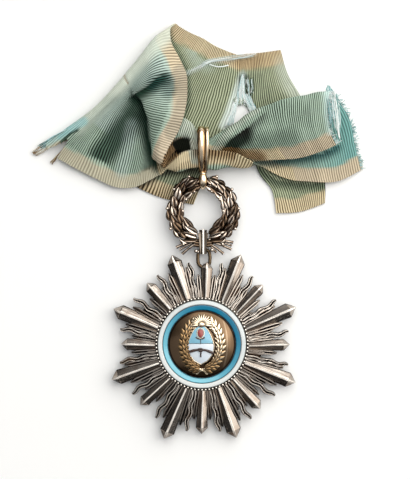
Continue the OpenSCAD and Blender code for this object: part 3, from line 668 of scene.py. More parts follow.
# A ring of enamel: level or sloping top between two radii, with rounded shoulders and a
# slight swell in its middle
def enamelSection(inner, outer, low, highInner, highOuter, swell):
    u = np.linspace(0, 1, 15)
    shoulder = 1 - np.abs(2 * u - 1) ** 6
    top = highInner + (highOuter - highInner) * u - 0.18 * (1 - shoulder) + swell * shoulder
    return [[outer, low], [inner, low]] + [[inner + (outer - inner) * a, b] for a, b in zip(u, top)]


base = medallion["ringBase"]
for name, ring, material in (("whiteRing", "white", whiteEnamel), ("blueRing", "blue", blueEnamel)):
    topInner, topOuter, swell = medallion[ring + "Top"]
    section = enamelSection(medallion[ring + "From"], medallion[ring + "To"], base,
                            base + topInner, base + topOuter, swell)
    newPiece(name, [turned(section, 144)], material, [ring + "_enamel_ring"], smooth=60)

# The dome is a cap of a ball
domeBall = (medallion["domeRadius"] ** 2 + medallion["domeHigh"] ** 2) / (2 * medallion["domeHigh"])
domeMiddle = medallion["domeBase"] + medallion["domeHigh"] - domeBall
domeArc = np.linspace(np.arcsin(medallion["domeRadius"] / domeBall), 0, 40)
domeSection = [[0, base], [medallion["domeRadius"], base]]
domeSection += [[domeBall * np.sin(a), domeMiddle + domeBall * np.cos(a)] for a in domeArc]
domePoints, domeFaces = turnedCap(domeSection, 128)[:2]
# a painted reflection in an upright bright strip at the right, a little lighter towards the left
# elsewhere, black where it meets the blue ring
domeX, domeY = domePoints[:, 0], domePoints[:, 1]
stripFar = (domeX - medallion["stripX"] + medallion["stripBend"] * domeY ** 2) / medallion["stripWide"]
domeToneAndReflection = 0.38 - 0.01 * domeX + 0.45 * np.exp(-stripFar ** 2)
domeToneAndReflection = np.where(np.hypot(domeX, domeY) > medallion["domeDarkFrom"], 0, domeToneAndReflection)
newPiece("dome", [(domePoints, domeFaces, domeToneAndReflection)], agedGilt, ["centre_dome"], smooth=60)


# Height of the dome's skin, or of a layer over it
def domeZ(x, y, lift=0.0):
    return domeMiddle + np.sqrt(np.maximum((domeBall + lift) ** 2 - x * x - y * y, 0))


# Places on the dome at x, y, lifted by so many mm
def overDome(x, y, lift):
    return np.stack([x, y, domeZ(x, y, lift)], -1)


# Axes of something that lies on the dome at x, y with the given heading: its up axis leaves
# the ball's middle
def domeAxes(x, y, heading, lean=0.0):
    up = unit(np.stack([x, y, domeZ(x, y) - domeMiddle], -1))
    ahead = np.stack([np.cos(heading), np.sin(heading), 0 * heading], -1)
    ahead = unit(ahead - up * (ahead * up).sum(-1, keepdims=True))
    side = np.cross(up, ahead)
    lean = np.asarray(lean, float) + 0 * x
    along = np.cos(lean)[:, None] * ahead + np.sin(lean)[:, None] * up
    return along, side, np.cross(along, side)


def domeLeaves(x, y, heading, lift, long, wide, thick, lean=0.0):
    shapes = leafShape(plainLeaf, long, wide, thick, len(x))
    # painted light: brightest at the upper right and least at the left
    rubbed = 0.82 + 0.035 * x + 0.025 * y
    toneLevel = plainLeaf["toneLevel"] * rubbed[:, None, None]
    return bars(placed(shapes, *domeAxes(x, y, heading, lean), overDome(x, y, lift)), toneLevel)


arms = {
    # two branches on an oval, from and to so many degrees of it, with groups of leaves
    "halfWide": 6.2, "halfHigh": 8.4, "from": -82, "to": 56, "groups": 13,
    "leafLong": 2.6, "leafWide": 1.5, "leafThick": 0.8, "leafLean": 0.12, "jitter": 6,
    # leaves of a group: place across the branch, turn in degrees, height on the dome, size
    "leafRows": [(0.98, 24, 0.62, 1.0), (1.0, -4, 0.85, 0.9), (1.03, -34, 0.55, 1.08),
                 (0.93, 42, 0.5, 0.75)],
    "stalk": 0.42, "berry": 0.3, "berryOval": (7.25, 9.35),
    # the bow: height of its knot, and the radii of knot, loops and tails
    "knotY": -8.9, "knot": 0.55, "loop": 0.3, "tail": 0.32,
    # the sun: its x, then y, and its rays: how many, over how many degrees, long and short
    "sunX": -0.15, "sunY": 6.95, "sunRadius": 1.25, "rays": 15, "fan": 96, "longRay": 3.2,
    "shortRay": 2.8,
    "shieldX": -0.35, "division": 0.35, "cutHalf": 0.07, "shieldLow": 0.06, "shieldTop": 0.72,
    "edgeWire": 0.16, "capWire": 0.14,
}
armParts = []
armsRng = np.random.default_rng(4)
angle = np.radians(np.linspace(arms["from"], arms["to"], arms["groups"]))
for side in (-1, 1):
    x = side * arms["halfWide"] * np.cos(angle) + 0.1
    y = arms["halfHigh"] * np.sin(angle) - 0.2
    heading = np.arctan2(arms["halfHigh"] * np.cos(angle), -side * arms["halfWide"] * np.sin(angle))
    for shift, turn, lift, grow in arms["leafRows"]:
        jitter = np.radians(armsRng.uniform(-arms["jitter"], arms["jitter"], len(x)))
        armParts.append(domeLeaves(x * shift, y * shift, heading + side * np.radians(turn) + jitter,
                                   lift, arms["leafLong"] * grow, arms["leafWide"] * grow,
                                   arms["leafThick"], arms["leafLean"]))
    stalk = np.radians(np.linspace(-88, 66, 40))
    stalkX, stalkY = side * arms["halfWide"] * np.cos(stalk), arms["halfHigh"] * np.sin(stalk) - 0.1
    armParts.append(wires(overDome(stalkX, stalkY, 0.42)[None], arms["stalk"]))
    berryX = side * arms["berryOval"][0] * np.cos(angle[1::2])
    berryY = arms["berryOval"][1] * np.sin(angle[1::2])
    armParts.append(balls(overDome(berryX, berryY, 0.55), arms["berry"]))
    # the bow under the branches: a loop and a tail on each side
    loop = np.linspace(0, np.pi * 1.75, 24)
    loopX = side * (0.35 + 1.25 * np.sin(loop / 2) ** 2 * 1.1 + 0.1 * loop)
    loopY = arms["knotY"] + 0.55 * np.sin(loop)
    armParts.append(wires(overDome(loopX, loopY, 0.75)[None], arms["loop"], 8, 0.6))
    tail = np.linspace(0, 1, 16)
    tailX, tailY = side * (0.2 + 1.9 * tail), -9.1 - 1.2 * tail + 0.25 * np.sin(7 * tail)
    armParts.append(wires(overDome(tailX, tailY, 0.55)[None], arms["tail"] * (1 - 0.4 * tail), 8, 0.6))
armParts.append(balls(overDome(0, arms["knotY"], 0.8), arms["knot"], (1, 0.9, 0.7)))

# The rising sun over the shield: a low half ball with straight rays fanned over it, no face
sunRay = np.radians(np.linspace(-arms["fan"], arms["fan"], arms["rays"]))
sunX, sunY = arms["sunX"] + np.sin(sunRay), arms["sunY"] - 0.2 + np.cos(sunRay)
sunLong = np.where(np.arange(arms["rays"]) % 2 == 0, arms["longRay"], arms["shortRay"])
armParts.append(domeLeaves(sunX, sunY, np.pi / 2 - sunRay, 1.05, sunLong, 1.0, 1.0))
armParts.append(balls(overDome(arms["sunX"], arms["sunY"], 1.2), arms["sunRadius"],
                      (1.0, 0.75, 0.45), 24, 13))
newPiece("laurelOfArms", armParts, rubbedGilt, ["arms_laurel"], smooth=50)

# The shield: straight-sided, rounded above and pointed below, cut in two at the division
shieldHalf = [[0, 6.75], [1.3, 6.35], [2.35, 5.2], [3.3, 3.5], [4.1, 1.5], [4.6, -0.3],
              [4.4, -2.1], [3.7, -3.8], [2.3, -5.6], [0, -6.85]]
shieldMirror = [[-x, y] for x, y in shieldHalf[-2:0:-1]]
shieldPoints = np.array(shieldHalf + shieldMirror) + [arms["shieldX"], 0]


# The stretch of a closed outline between two values of y, with straight cuts
def clipped(outline, low, high):
    steps = np.linspace(0, 1, 12, endpoint=False)[:, None]
    after = np.roll(outline, -1, 0)
    dense = (outline[:, None] * (1 - steps) + after[:, None] * steps).reshape(-1, 2)
    kept = np.clip(dense, [-99, low], [99, high])
    keep = np.linalg.norm(kept - np.roll(kept, 1, 0), axis=1) > 1e-6
    return kept[keep]


# A plate on the dome, from low to high over its skin: rings shrink from the outline to its
# middle, the top ring's shoulder is rounded, and the underside follows the dome
def domePlate(outline, low, high, crown=0.12):
    middle = (outline.min(0) + outline.max(0)) / 2
    shrink = np.array([0.02, 0.35, 0.7, 0.9, 0.97, 1.0, 1.0, 0.97, 0.5, 0.02])
    lift = np.array([high + crown, high + 0.85 * crown, high + 0.5 * crown, high + 0.2 * crown, high,
                     high - 0.12, low, low, low, low])
    flat = middle + (outline - middle)[None] * shrink[:, None, None]
    z = domeZ(flat[..., 0], flat[..., 1], lift[:, None])
    return bars(np.concatenate([flat, z[..., None]], -1)[None])


topHigh = arms["shieldTop"]
lowerHalf = clipped(shieldPoints, -8, arms["division"] - arms["cutHalf"])
upperHalf = clipped(shieldPoints, arms["division"] + arms["cutHalf"], 8)
newPiece("shieldBelow", [domePlate(lowerHalf, arms["shieldLow"], topHigh)],
         shieldWhiteEnamel, ["shield_lower"], smooth=40)
newPiece("shieldAbove", [domePlate(upperHalf, arms["shieldLow"], topHigh)],
         shieldBlueEnamel, ["shield_upper"], smooth=40)
# the gilt wires round the shield and round the cap
shieldRim = clipped(shieldPoints, -8, 8)
shieldRim = overDome(shieldRim[:, 0], shieldRim[:, 1], topHigh)
capAngle = roundAngles(40)
capRim = overDome(-0.45 + 1.25 * np.cos(capAngle), 3.95 + 1.72 * np.sin(capAngle), topHigh + 0.16)
newPiece("shieldEdge", [ringWire(shieldRim, arms["edgeWire"], 8), ringWire(capRim, arms["capWire"], 8)],
         rubbedGilt, smooth=60)

# The cap
capOutline = np.stack([-0.45 + 0.98 * np.cos(capAngle) + 0.08 * np.sin(2 * capAngle),
                       3.9 + 1.42 * np.sin(capAngle)], -1)
newPiece("cap", [domePlate(capOutline, topHigh + 0.1, topHigh + 0.48, 0.25)],
         redEnamel, ["red_cap"], smooth=60)


# A drawn line on the shield: a wire that follows the dome at the given height
def shieldLine(points, radius, lift, flat=0.6):
    path = smoothCurve(points, np.linspace(0, len(points) - 1, 30))
    return wires(overDome(path[:, 0], path[:, 1], lift)[None], radius, 8, flat)


# Forearms from both lower corners to the hands clasped on the staff, the staff above and below
# them, and the cap's brim: places along each line, its radius and its height over the shield
forearm = np.interp(np.linspace(0, 1, 30), [0, 0.2, 0.75, 1], [0.34, 0.5, 0.36, 0.42])
hands = {
    "lines": [
        ([[-4.55, -2.6], [-2.9, -2.0], [-1.4, -1.75], [-0.5, -1.7]], forearm, 0.28),
        ([[4.0, -3.0], [2.6, -2.3], [1.2, -1.85], [0.2, -1.75]], forearm, 0.28),
        ([[-0.4, 0.2], [-0.38, 0.9], [-0.4, 1.7], [-0.4, 2.5]], 0.11, 0.16),
        ([[-0.35, -2.4], [-0.35, -3.0], [-0.4, -3.6], [-0.4, -4.3]], 0.26, 0.2),
        ([[-2.05, 2.7], [-1.6, 2.2], [-0.9, 2.05], [-0.2, 2.05], [0.6, 2.2], [1.0, 2.6]], 0.2, 0.2),
    ],
    "knuckleX": [-1.0, -0.55, -0.1, 0.35, -0.75, -0.2], "knuckleRadius": 0.42, "knuckleLift": 0.33,
    "knuckleY": [-1.55, -1.45, -1.5, -1.7, -2.1, -2.15],
}
handLines = [shieldLine(points, radius, topHigh + lift) for points, radius, lift in hands["lines"]]
knuckles = overDome(np.array(hands["knuckleX"]), np.array(hands["knuckleY"]),
                    topHigh + hands["knuckleLift"])
handLines.append(balls(knuckles, hands["knuckleRadius"], (1.1, 1.0, 0.7), 12, 9))
newPiece("armsAndStaff", handLines, brownEnamel, ["clasped_hands"], smooth=60)
print("medallion made")

# The wreath
wreath = {
    "centre": (0.35, 45.8), "halfWide": 9.7, "halfHigh": 10.6, "z": 3.9, "core": (1.2, 0.8),
    # groups of leaves on each side, over so many degrees up and down
    "groups": 9, "reach": 62, "leafLong": 4.8, "leafWide": 3.15, "leafThick": 1.7,
    # rows of leaves: place across, turn in degrees, height, tilt, size, and how much further on
    # in radians. The outer and inner row lie below, the middle row on top of them
    "leafRows": [(-1.5, 6, 0.1, 0.15, 0.92, 0.0), (1.5, 17, 0.1, 0.15, 0.95, 0.0),
                 (-0.1, 3, 0.75, 0.17, 0.95, 0.12)],
    # berries outside and inside: how far out, how much further on in radians, radius
    "berries": [(2.75, 0.09, 0.6), (-2.7, 0.04, 0.56)],
    # large leaves that leave the band on each side, for the right one: start and end with x
    # counted from the band's middle, height, width
    "largeLeaves": [([1.9, 38.2], [6.4, 41.0], 0.9, 2.6), ([2.1, 37.0], [7.6, 38.9], 0.8, 2.4),
                    ([2.2, 35.9], [7.4, 36.0], 0.5, 2.0), ([3.3, 39.2], [6.9, 44.2], 0.6, 2.4)],
    # cut stems crossing below the band: start, end, height, radius
    "stems": [((-1.6, 36.0), (-8.9, 33.5), 0.5, 0.5), ((-1.6, 35.2), (-6.9, 31.2), 0.3, 0.5),
              ((-1.8, 35.6), (-7.8, 32.6), 0.1, 0.4), ((2.4, 36.2), (10.9, 35.2), 0.5, 0.5),
              ((2.4, 35.6), (10.3, 32.8), 0.3, 0.46), ((2.4, 36.0), (10.4, 34.1), 0.1, 0.4),
              ((2.3, 35.0), (7.5, 31.3), 0.3, 0.46), ((2.3, 34.6), (5.0, 31.7), 0.1, 0.4)],
    "knots": [[-2.0, 32.2, 4.1], [3.5, 32.6, 4.1], [-1.2, 31.9, 3.6]], "knotRadius": 0.75,
    # three stems side by side in the band: their line, how far up each lies, and its height
    "bundle": [[-2.8, 35.2], [-1.2, 35.0], [0.35, 34.9], [2.0, 35.0], [3.5, 35.2]],
    "bundleRows": [(0.9, 0.1), (0, 0.35), (-0.9, 0.1)], "bundleRadius": 0.55,
}
band = {
    "x": 0.4, "from": 31.2, "to": 39.9, "topHalf": 1.75, "lowHalf": 0.95, "ridgeHalf": 0.5,
    # heights across it, from flank over groove and ridge to flank, and how bright each is rubbed
    "heights": [4.85, 5.4, 5.6, 5.45, 5.95, 6.12, 6.12, 5.95, 5.45, 5.6, 5.4, 4.85],
    "toneLevel": [0.1, 0.3, 0.6, 0.1, 0.7, 1.0, 1.0, 0.7, 0.1, 0.6, 0.3, 0.1],
    # closed blocks from corner to corner: the post below, the post above, the plate behind
    "blocks": [([-0.5, 31.3, 2.1], [1.3, 33.3, 4.9]), ([-0.9, 39.0, 2.1], [1.7, 39.6, 4.9]),
               ([-0.9, 31.3, 2.1], [1.7, 39.6, 2.9])],
    # the eye behind it: its middle, and the radius of its wire
    "eye": (0.4, 32.9, 1.5), "eyeWire": 0.33,
}
wreathParts = []
ringAngle = roundAngles(96)
core = np.stack([wreath["centre"][0] + wreath["halfWide"] * np.cos(ringAngle),
                 wreath["centre"][1] + wreath["halfHigh"] * np.sin(ringAngle),
                 wreath["z"] + 0 * ringAngle], -1)
coreSide = unit(core - [*wreath["centre"], wreath["z"]])
coreAround = roundAngles(10)[None, :, None]
corePoints = core[:, None] + wreath["core"][0] * np.cos(coreAround) * coreSide[:, None]
corePoints = corePoints + wreath["core"][1] * np.sin(coreAround) * np.array([0, 0, 1.0])
wreathParts.append(solid(corePoints, gridFaces(96, 10, True, True), 0.1))
wreathRng = np.random.default_rng(11)


# Leaves that lie on the wreath: where each starts, its heading, tilt and roll, its size
def wreathLeaves(x, y, z, heading, tilt, roll, long, wide):
    shapes = leafShape(veinedLeaf, long, wide, wreath["leafThick"], len(x))
    places = np.stack([x, y, wreath["z"] + z + 0 * x], -1)
    toneLevel = veinedLeaf["toneLevel"] * wreathRng.uniform(0.6, 1.3, (len(x), 1, 1))
    wreathParts.append(bars(placed(shapes, *flatAxes(heading, tilt, roll), places), toneLevel))


angle = np.radians(np.linspace(-wreath["reach"], wreath["reach"], wreath["groups"]))
for side in (-1, 1):
    heading = np.arctan2(wreath["halfHigh"] * np.cos(angle), -side * wreath["halfWide"] * np.sin(angle))
    inward = np.stack([-side * np.cos(angle), -np.sin(angle)], -1)
    # leaves near the top are shorter, to end before the bail
    room = np.clip((wreath["halfWide"] * np.cos(angle) - 1.2) / 4.6, 0.5, 1.0)
    for shift, turn, z, tilt, grow, late in wreath["leafRows"]:
        x = wreath["centre"][0] + side * wreath["halfWide"] * np.cos(angle + late) + shift * inward[:, 0]
        y = wreath["centre"][1] + wreath["halfHigh"] * np.sin(angle + late) + shift * inward[:, 1]
        jitter = np.radians(turn) + wreathRng.uniform(-0.2, 0.2, len(x))
        size = grow * wreathRng.uniform(0.85, 1.06, len(x))
        wreathLeaves(x, y, z, heading + side * jitter, tilt, -0.012 * side * turn,
                     wreath["leafLong"] * size * room, wreath["leafWide"] * size)
    for reach, ahead, radius in wreath["berries"]:
        x = wreath["centre"][0] + side * (wreath["halfWide"] + reach) * np.cos(angle[::2] + ahead)
        y = wreath["centre"][1] + (wreath["halfHigh"] + reach) * np.sin(angle[::2] + ahead)
        wreathParts.append(balls(np.stack([x, y, wreath["z"] + 0.6 + 0 * x], -1), radius))
    # the hollow above the band ends in a point between the large leaves
    start, end, lift, wide = [np.array(column) for column in zip(*wreath["largeLeaves"])]
    away = end - start
    heading = np.arctan2(away[:, 1], side * away[:, 0])
    wreathLeaves(band["x"] + side * start[:, 0], start[:, 1], lift, heading, 0.05, 0.0,
                 np.linalg.norm(away, axis=1), wide)
# stems bow up a little and sink towards their ends, where they are thickest
for start, end, z, thick in wreath["stems"]:
    t = np.linspace(0, 1, 14)[:, None]
    path = np.concatenate([np.array(start) * (1 - t) + np.array(end) * t, 0 * t], -1)
    path[:, 1] += 0.25 * np.sin(np.pi * t[:, 0])
    path[:, 2] = wreath["z"] + z - 0.25 * t[:, 0]
    wreathParts.append(wires(path[None], thick * (0.85 + 0.3 * t[:, 0] ** 3), 9, rubbed=0.8))
wreathParts.append(balls(wreath["knots"], wreath["knotRadius"], (1, 0.85, 0.8), 14, 9))
bundlePath = smoothCurve(wreath["bundle"], np.linspace(0, len(wreath["bundle"]) - 1, 24))
for up, lift in wreath["bundleRows"]:
    path = np.concatenate([bundlePath + [0, up], np.full((24, 1), wreath["z"] + lift)], -1)
    wreathParts.append(wires(path[None], wreath["bundleRadius"], 9, rubbed=0.45))
newPiece("laurelWreath", wreathParts, brownGilt, ["suspension_wreath"], smooth=50)

# The silver band over the wreath's bottom: a strap with a round bright ridge between two
# grooves, narrower below and rounded above, hollow where the stems pass, the eye behind it
bandY = np.linspace(0, 1, 24)[:, None]
bandHalf = band["lowHalf"] + (band["topHalf"] - band["lowHalf"]) * np.minimum(bandY / 0.85, 1)
shoulder = np.sqrt(np.clip((0.88 - bandY) / 0.05, 0, 1))
bandHalf = band["ridgeHalf"] + (bandHalf - band["ridgeHalf"]) * shoulder
bandHalf = bandHalf * np.sqrt(np.clip((1.01 - bandY) / 0.05, 0, 1))
bandRidge = band["ridgeHalf"] * np.array([-1.1, -0.8, -0.35, 0.35, 0.8, 1.1]) + 0 * bandY
bandX = np.concatenate([-bandHalf, -bandHalf, -0.9 * bandHalf, bandRidge,
                        0.9 * bandHalf, bandHalf, bandHalf], 1)
bandZ = np.array(band["heights"]) - 0.5 * (bandY - 0.5) ** 4
bandTop = np.stack([band["x"] + np.clip(bandX, -bandHalf, bandHalf),
                    band["from"] + (band["to"] - band["from"]) * bandY + 0 * bandX, bandZ], -1)


# A closed block from low corner to high corner
def block(low, high, toneLevel=0.5):
    low, high = np.array(low, float), np.array(high, float)
    square = np.array([[0, 0], [1, 0], [1, 1], [0, 1]])
    ring = low[:2] + square * (high - low)[:2]
    points = np.stack([np.concatenate([ring, np.full((4, 1), z)], -1) for z in (low[2], high[2])])
    return bars(points[None], toneLevel)


newPiece("silverBand", [bars(bandTop[None], np.array(band["toneLevel"]))]
         + [block(low, high, 0.1) for low, high in band["blocks"]]
         + [ringWire(eyePath(band["eye"]), band["eyeWire"], 10, (1, 0, 0))],
         barSilver, ["wreath_band"], smooth=35, bevel=0.08)

# The bail: one strap bent into a long loop for the ribbon and a small one for the wreath
bail = {
    "x": 0.4, "topWide": 3.9, "waistWide": 2.7, "thick": 0.5,
    # the long loop seen from the side, as y and height
    "loop": [[59.9, 5.35], [61.6, 6.85], [64.0, 8.2], [67.2, 9.25], [70.0, 9.5], [72.2, 9.25],
             [73.8, 8.35], [74.75, 6.9], [74.95, 5.3], [74.4, 3.5], [73.0, 2.35], [71.0, 1.9],
             [68.0, 1.88], [65.0, 1.92], [62.6, 2.35], [60.9, 3.1], [59.9, 3.9]],
    # the small loop: middle as y and height, half its length and height, its strap
    "knuckle": (56.75, 3.9), "knuckleHalf": (2.15, 2.0), "knuckleWide": 2.8, "knuckleThick": 0.6,
    # the ball where the loops meet: its place and its stretch along x, y and z
    "joint": [0.4, 59.1, 4.2], "jointStretch": (1.25, 0.95, 2.0),
}
# Sections of the strap, as shares of its half width and of its thickness, with how bright each
# corner is rubbed. The long loop has a broad round ridge to the left, a groove and a narrow
# strip to the right of it, on its outer side. The small loop is one round swell
strapSection = {
    "around": [[-1.0, -1.0], [1.0, -1.0], [1.0, 0.55], [0.93, 0.85], [0.72, 0.95], [0.5, 0.82],
               [0.36, 0.3], [0.22, 0.62], [0.0, 1.2], [-0.28, 1.42], [-0.58, 1.25],
               [-0.85, 0.8], [-1.0, 0.3]],
    "toneLevel": [0.3, 0.3, 0.5, 0.9, 1.0, 0.6, 0.0, 0.3, 0.8, 1.0, 0.8, 0.4, 0.2]}
domedSection = {
    "around": [[-1.0, -1.0], [1.0, -1.0], [1.0, 0.1], [0.88, 0.75], [0.6, 1.25], [0.2, 1.5],
               [-0.2, 1.5], [-0.6, 1.25], [-0.88, 0.75], [-1.0, 0.1]],
    "toneLevel": [0.1, 0.1, 0.2, 0.4, 0.8, 1.0, 1.0, 0.8, 0.4, 0.2]}


# A strap's section carried along a path seen from the side
def strap(path, widths, section, thick):
    around = np.array(section["around"])
    ahead = unit(np.gradient(path, axis=0))
    out = np.stack([-ahead[:, 1], ahead[:, 0]], -1)
    x = bail["x"] + widths[:, None] / 2 * around[None, :, 0]
    yz = path[:, None] + thick * around[None, :, 1, None] * out[:, None]
    return bars(np.concatenate([x[..., None], yz], -1)[None], np.array(section["toneLevel"]))


loopPath = smoothCurve(bail["loop"], np.linspace(0, len(bail["loop"]) - 1, 120))
loopWide = np.interp(loopPath[:, 0], [60.0, 69.0], [bail["waistWide"], bail["topWide"]])
knuckleAngle = np.linspace(2 * np.pi - 0.15, 0.15, 60)
knucklePath = np.stack([bail["knuckle"][0] + bail["knuckleHalf"][0] * np.cos(knuckleAngle),
                        bail["knuckle"][1] + bail["knuckleHalf"][1] * np.sin(knuckleAngle)], -1)
knuckleWide = bail["knuckleWide"] * np.sqrt(1 - ((knucklePath[:, 0] - bail["knuckle"][0]) / 2.5) ** 4)
newPiece("bailStrap", [strap(loopPath, loopWide, strapSection, bail["thick"]),
                       strap(knucklePath, knuckleWide, domedSection, bail["knuckleThick"]),
                       balls([bail["joint"]], 1.0, bail["jointStretch"], 20, 13)],
         roseGilt, ["bail"], smooth=45)

# The jump ring: an oval of round wire through both eyes, with straight sides and round ends
jumpRing = {"x": 0.7, "z": 1.5, "bend": 2.1, "wire": 0.6}
turnAngle = roundAngles(64)
straight = 0.5 * (band["eye"][1] - star["eye"][1]) - jumpRing["bend"]
ringMiddle = 0.5 * (band["eye"][1] + star["eye"][1])
ringPath = np.stack([jumpRing["x"] + jumpRing["bend"] * np.cos(turnAngle),
                     ringMiddle + straight * np.clip(3 * np.sin(turnAngle), -1, 1)
                     + jumpRing["bend"] * np.sin(turnAngle),
                     jumpRing["z"] + 0 * turnAngle], -1)
newPiece("jumpRing", [ringWire(ringPath, jumpRing["wire"], 12)], wireGilt, ["jump_ring"],
         smooth=60)
print("suspension made")


# The ribbon: one strip, set down as sections across its width. Each entry is one section: from
# the lower selvage to the hidden bend, four points as x, y and height in mm, then three more to
# the upper selvage and half the height of that bend
rightRoll = [
    [[55.5, 60.5, 0.8], [53.5, 68.5, 1.6], [51, 79, 2.6], [44.5, 88, 4.6],
     [43.5, 82.5, 6.8], [44, 74.5, 7], [46.5, 69, 6.2], 0.9],
    [[47, 56.5, 1.8], [45, 66, 2], [41.5, 77.5, 2.8], [36.5, 86.5, 5],
     [36, 80.5, 7.6], [37.5, 72.5, 7.6], [40.5, 66.5, 6.2], 0.9],
    [[37.5, 56.5, 2.1], [35, 65.5, 2.2], [32, 76.5, 3], [27.5, 84.5, 5.2],
     [28, 78, 7.8], [30, 70.5, 7.4], [33.5, 64.5, 6], 0.9],
    [[29.5, 57.5, 2.2], [27, 65.5, 2.3], [23, 74, 3], [18, 81, 5.2],
     [20, 75.5, 7.8], [22.5, 69, 7], [26, 64, 5.6], 0.9],
]
gathers = [
    [[21, 61.5, 3.6], [19.5, 64.5, 2.4], [15.5, 70.5, 3], [12, 77, 5],
     [13.5, 73.5, 7.4], [16, 68, 6.6], [19.5, 64, 5], 0.9],
    [[17.5, 63, 7], [15.5, 61.5, 4.4], [11, 67.5, 2.8], [7.5, 74, 4.8],
     [9, 71.5, 6.9], [11, 68, 6], [14, 65, 4.8], 0.8],
    [[12, 66, 7.6], [10, 61.5, 5], [7, 67, 3], [4, 72, 4.7],
     [5, 70, 6.4], [6.5, 67.5, 5.8], [9, 65, 4.9], 0.7],
    [[5.5, 67, 7.6], [4.5, 60.5, 5.4], [3, 66.5, 3.3], [1.5, 71, 4.6],
     [2, 69, 6.1], [2, 67, 5.7], [3, 64.5, 5.2], 0.7],
    [[0.5, 67.5, 7.4], [0, 61.5, 5.4], [-0.5, 66.5, 3.3], [-1, 71.5, 4.6],
     [-1, 69, 6.1], [-1, 67, 5.7], [-0.5, 64.5, 5.2], 0.7],
    [[-4.5, 67, 7.6], [-4, 61, 5.4], [-5.5, 66, 3.2], [-3, 76, 4.4],
     [-3.5, 72, 6.4], [-4.5, 69, 5.8], [-5, 66.5, 5.2], 0.7],
    [[-8.5, 65.5, 7.5], [-8.5, 60, 5], [-10.5, 66.5, 2.5], [-5.5, 78, 4],
     [-7, 74, 6.1], [-8.5, 70, 5.3], [-9.5, 67, 4.6], 0.8],
]
leftFan = [
    [[-13.5, 59.5, 4.2], [-14.5, 62, 2.6], [-15.5, 68, 2.4], [-9, 80, 4],
     [-16, 66.5, 5.6], [-15, 63.5, 6.4], [-13, 61.5, 5.8], 0.9],
    [[-15.5, 58.5, 3.4], [-16.5, 62, 2.5], [-16, 70.5, 2.3], [-10.5, 81, 4.1],
     [-17, 68.5, 6.2], [-15.5, 65, 8.8], [-13, 63.5, 8.4], 0.9],
    [[-18, 57, 2.8], [-18.5, 64, 2.3], [-16.5, 73, 2.4], [-12, 82, 4.2],
     [-17.5, 71, 6.6], [-14.5, 69, 9.4], [-11.5, 68, 8.8], 0.9],
    [[-23.5, 54.5, 2.2], [-21.5, 63.5, 2.3], [-19.5, 74, 2.6], [-14.5, 84.5, 4.4],
     [-18.5, 77.5, 7.2], [-13.5, 75.5, 9.6], [-8, 74, 7.4], 0.8],
    [[-30, 54.5, 1.8], [-28, 64, 2.4], [-25, 75.5, 3], [-20, 85, 4.3],
     [-20.5, 84, 7.2], [-13.5, 82.5, 9.4], [-5.5, 82.5, 7], 0.4],
    [[-37, 57.5, 1.8], [-33.5, 67, 3], [-29, 77.5, 3.6], [-24, 86, 4.8],
     [-22.5, 87.5, 6], [-15, 88.5, 7.4], [-5, 89, 6.6], 0.1],
    [[-43, 60.5, 1.9], [-38.5, 69.5, 3.4], [-32, 80, 4.2], [-26, 88, 5.4],
     [-21.5, 90.5, 7.2], [-14.5, 92.5, 9], [-5.5, 94, 6], 0],
    [[-47.5, 63, 2.1], [-41.5, 72, 4], [-34.5, 82.5, 5], [-27.5, 89.5, 5.8],
     [-22, 94, 6.8], [-15.5, 97.5, 7.4], [-7.5, 98.5, 5], 0],
    [[-51, 65, 2.3], [-44.5, 74, 4.4], [-36, 84, 5.6], [-28.5, 91.5, 5.8],
     [-23, 97.5, 6], [-17.5, 103, 5.6], [-10.5, 104.5, 4.2], 0],
    [[-54, 68, 2.5], [-47.5, 75.5, 3.8], [-39, 84, 4.5], [-31.5, 92, 4.5],
     [-25, 98.5, 4.5], [-18, 105.5, 4.2], [-11, 109.5, 3.4], 0],
]
backLeft = [
    [[-53.5, 70.5, 1.3], [-47, 77, 2], [-39, 84.5, 2.2], [-32, 92, 2.2],
     [-25, 99, 2.2], [-17, 105.5, 2.1], [-9.5, 111.5, 1.9], 0],
    [[-49, 67.5, 0.6], [-42.5, 74, 0.6], [-35.5, 82, 0.6], [-28.5, 89, 0.6],
     [-21.5, 96.5, 0.6], [-14.5, 103.5, 0.6], [-7.5, 110.5, 0.6], 0],
    [[-39, 61.5, 0.6], [-33.5, 68.5, 0.6], [-27.5, 76.5, 0.6], [-21.5, 84.5, 0.6],
     [-15.5, 93, 0.6], [-10, 100.5, 0.6], [-4, 108.5, 0.6], 0],
    [[-27, 56.5, 0.6], [-22.5, 64.5, 0.6], [-18, 72.5, 0.6], [-13.5, 81, 0.6],
     [-8.5, 89.5, 0.6], [-4, 98, 0.6], [0.5, 106.5, 0.6], 0],
    [[-14.5, 51, 0.6], [-11, 60, 0.6], [-8, 68.5, 0.6], [-5, 77.5, 0.6],
     [-1.5, 86, 0.6], [2, 95, 0.6], [5.5, 103.5, 0.6], 0],
    [[-3, 48.5, 0.6], [0.5, 57, 0.6], [5, 67, 0.6], [9.5, 76.5, 0.6],
     [12.5, 86, 0.6], [13.5, 93, 0.6], [13, 100.5, 0.6], 0],
]
backRight = [
    [[26, 45.5, 0.6], [24.5, 53.5, 0.6], [19.5, 60.5, 0.8], [15, 76.5, 0.6],
     [15, 86, 0.6], [15, 93, 0.6], [15.5, 101, 0.6], 0],
    [[34.5, 46, 0.6], [32, 54.5, 0.6], [28.5, 63.5, 0.6], [25.5, 73, 0.6],
     [23, 82.5, 0.6], [21.5, 92, 0.6], [20.5, 101.5, 0.6], 0],
    [[43, 49, 0.6], [43, 56, 0.8], [40.5, 66, 1], [37.5, 76, 1],
     [34.5, 86, 1.1], [30, 94, 1.1], [27.5, 102.5, 0.8], 0],
]
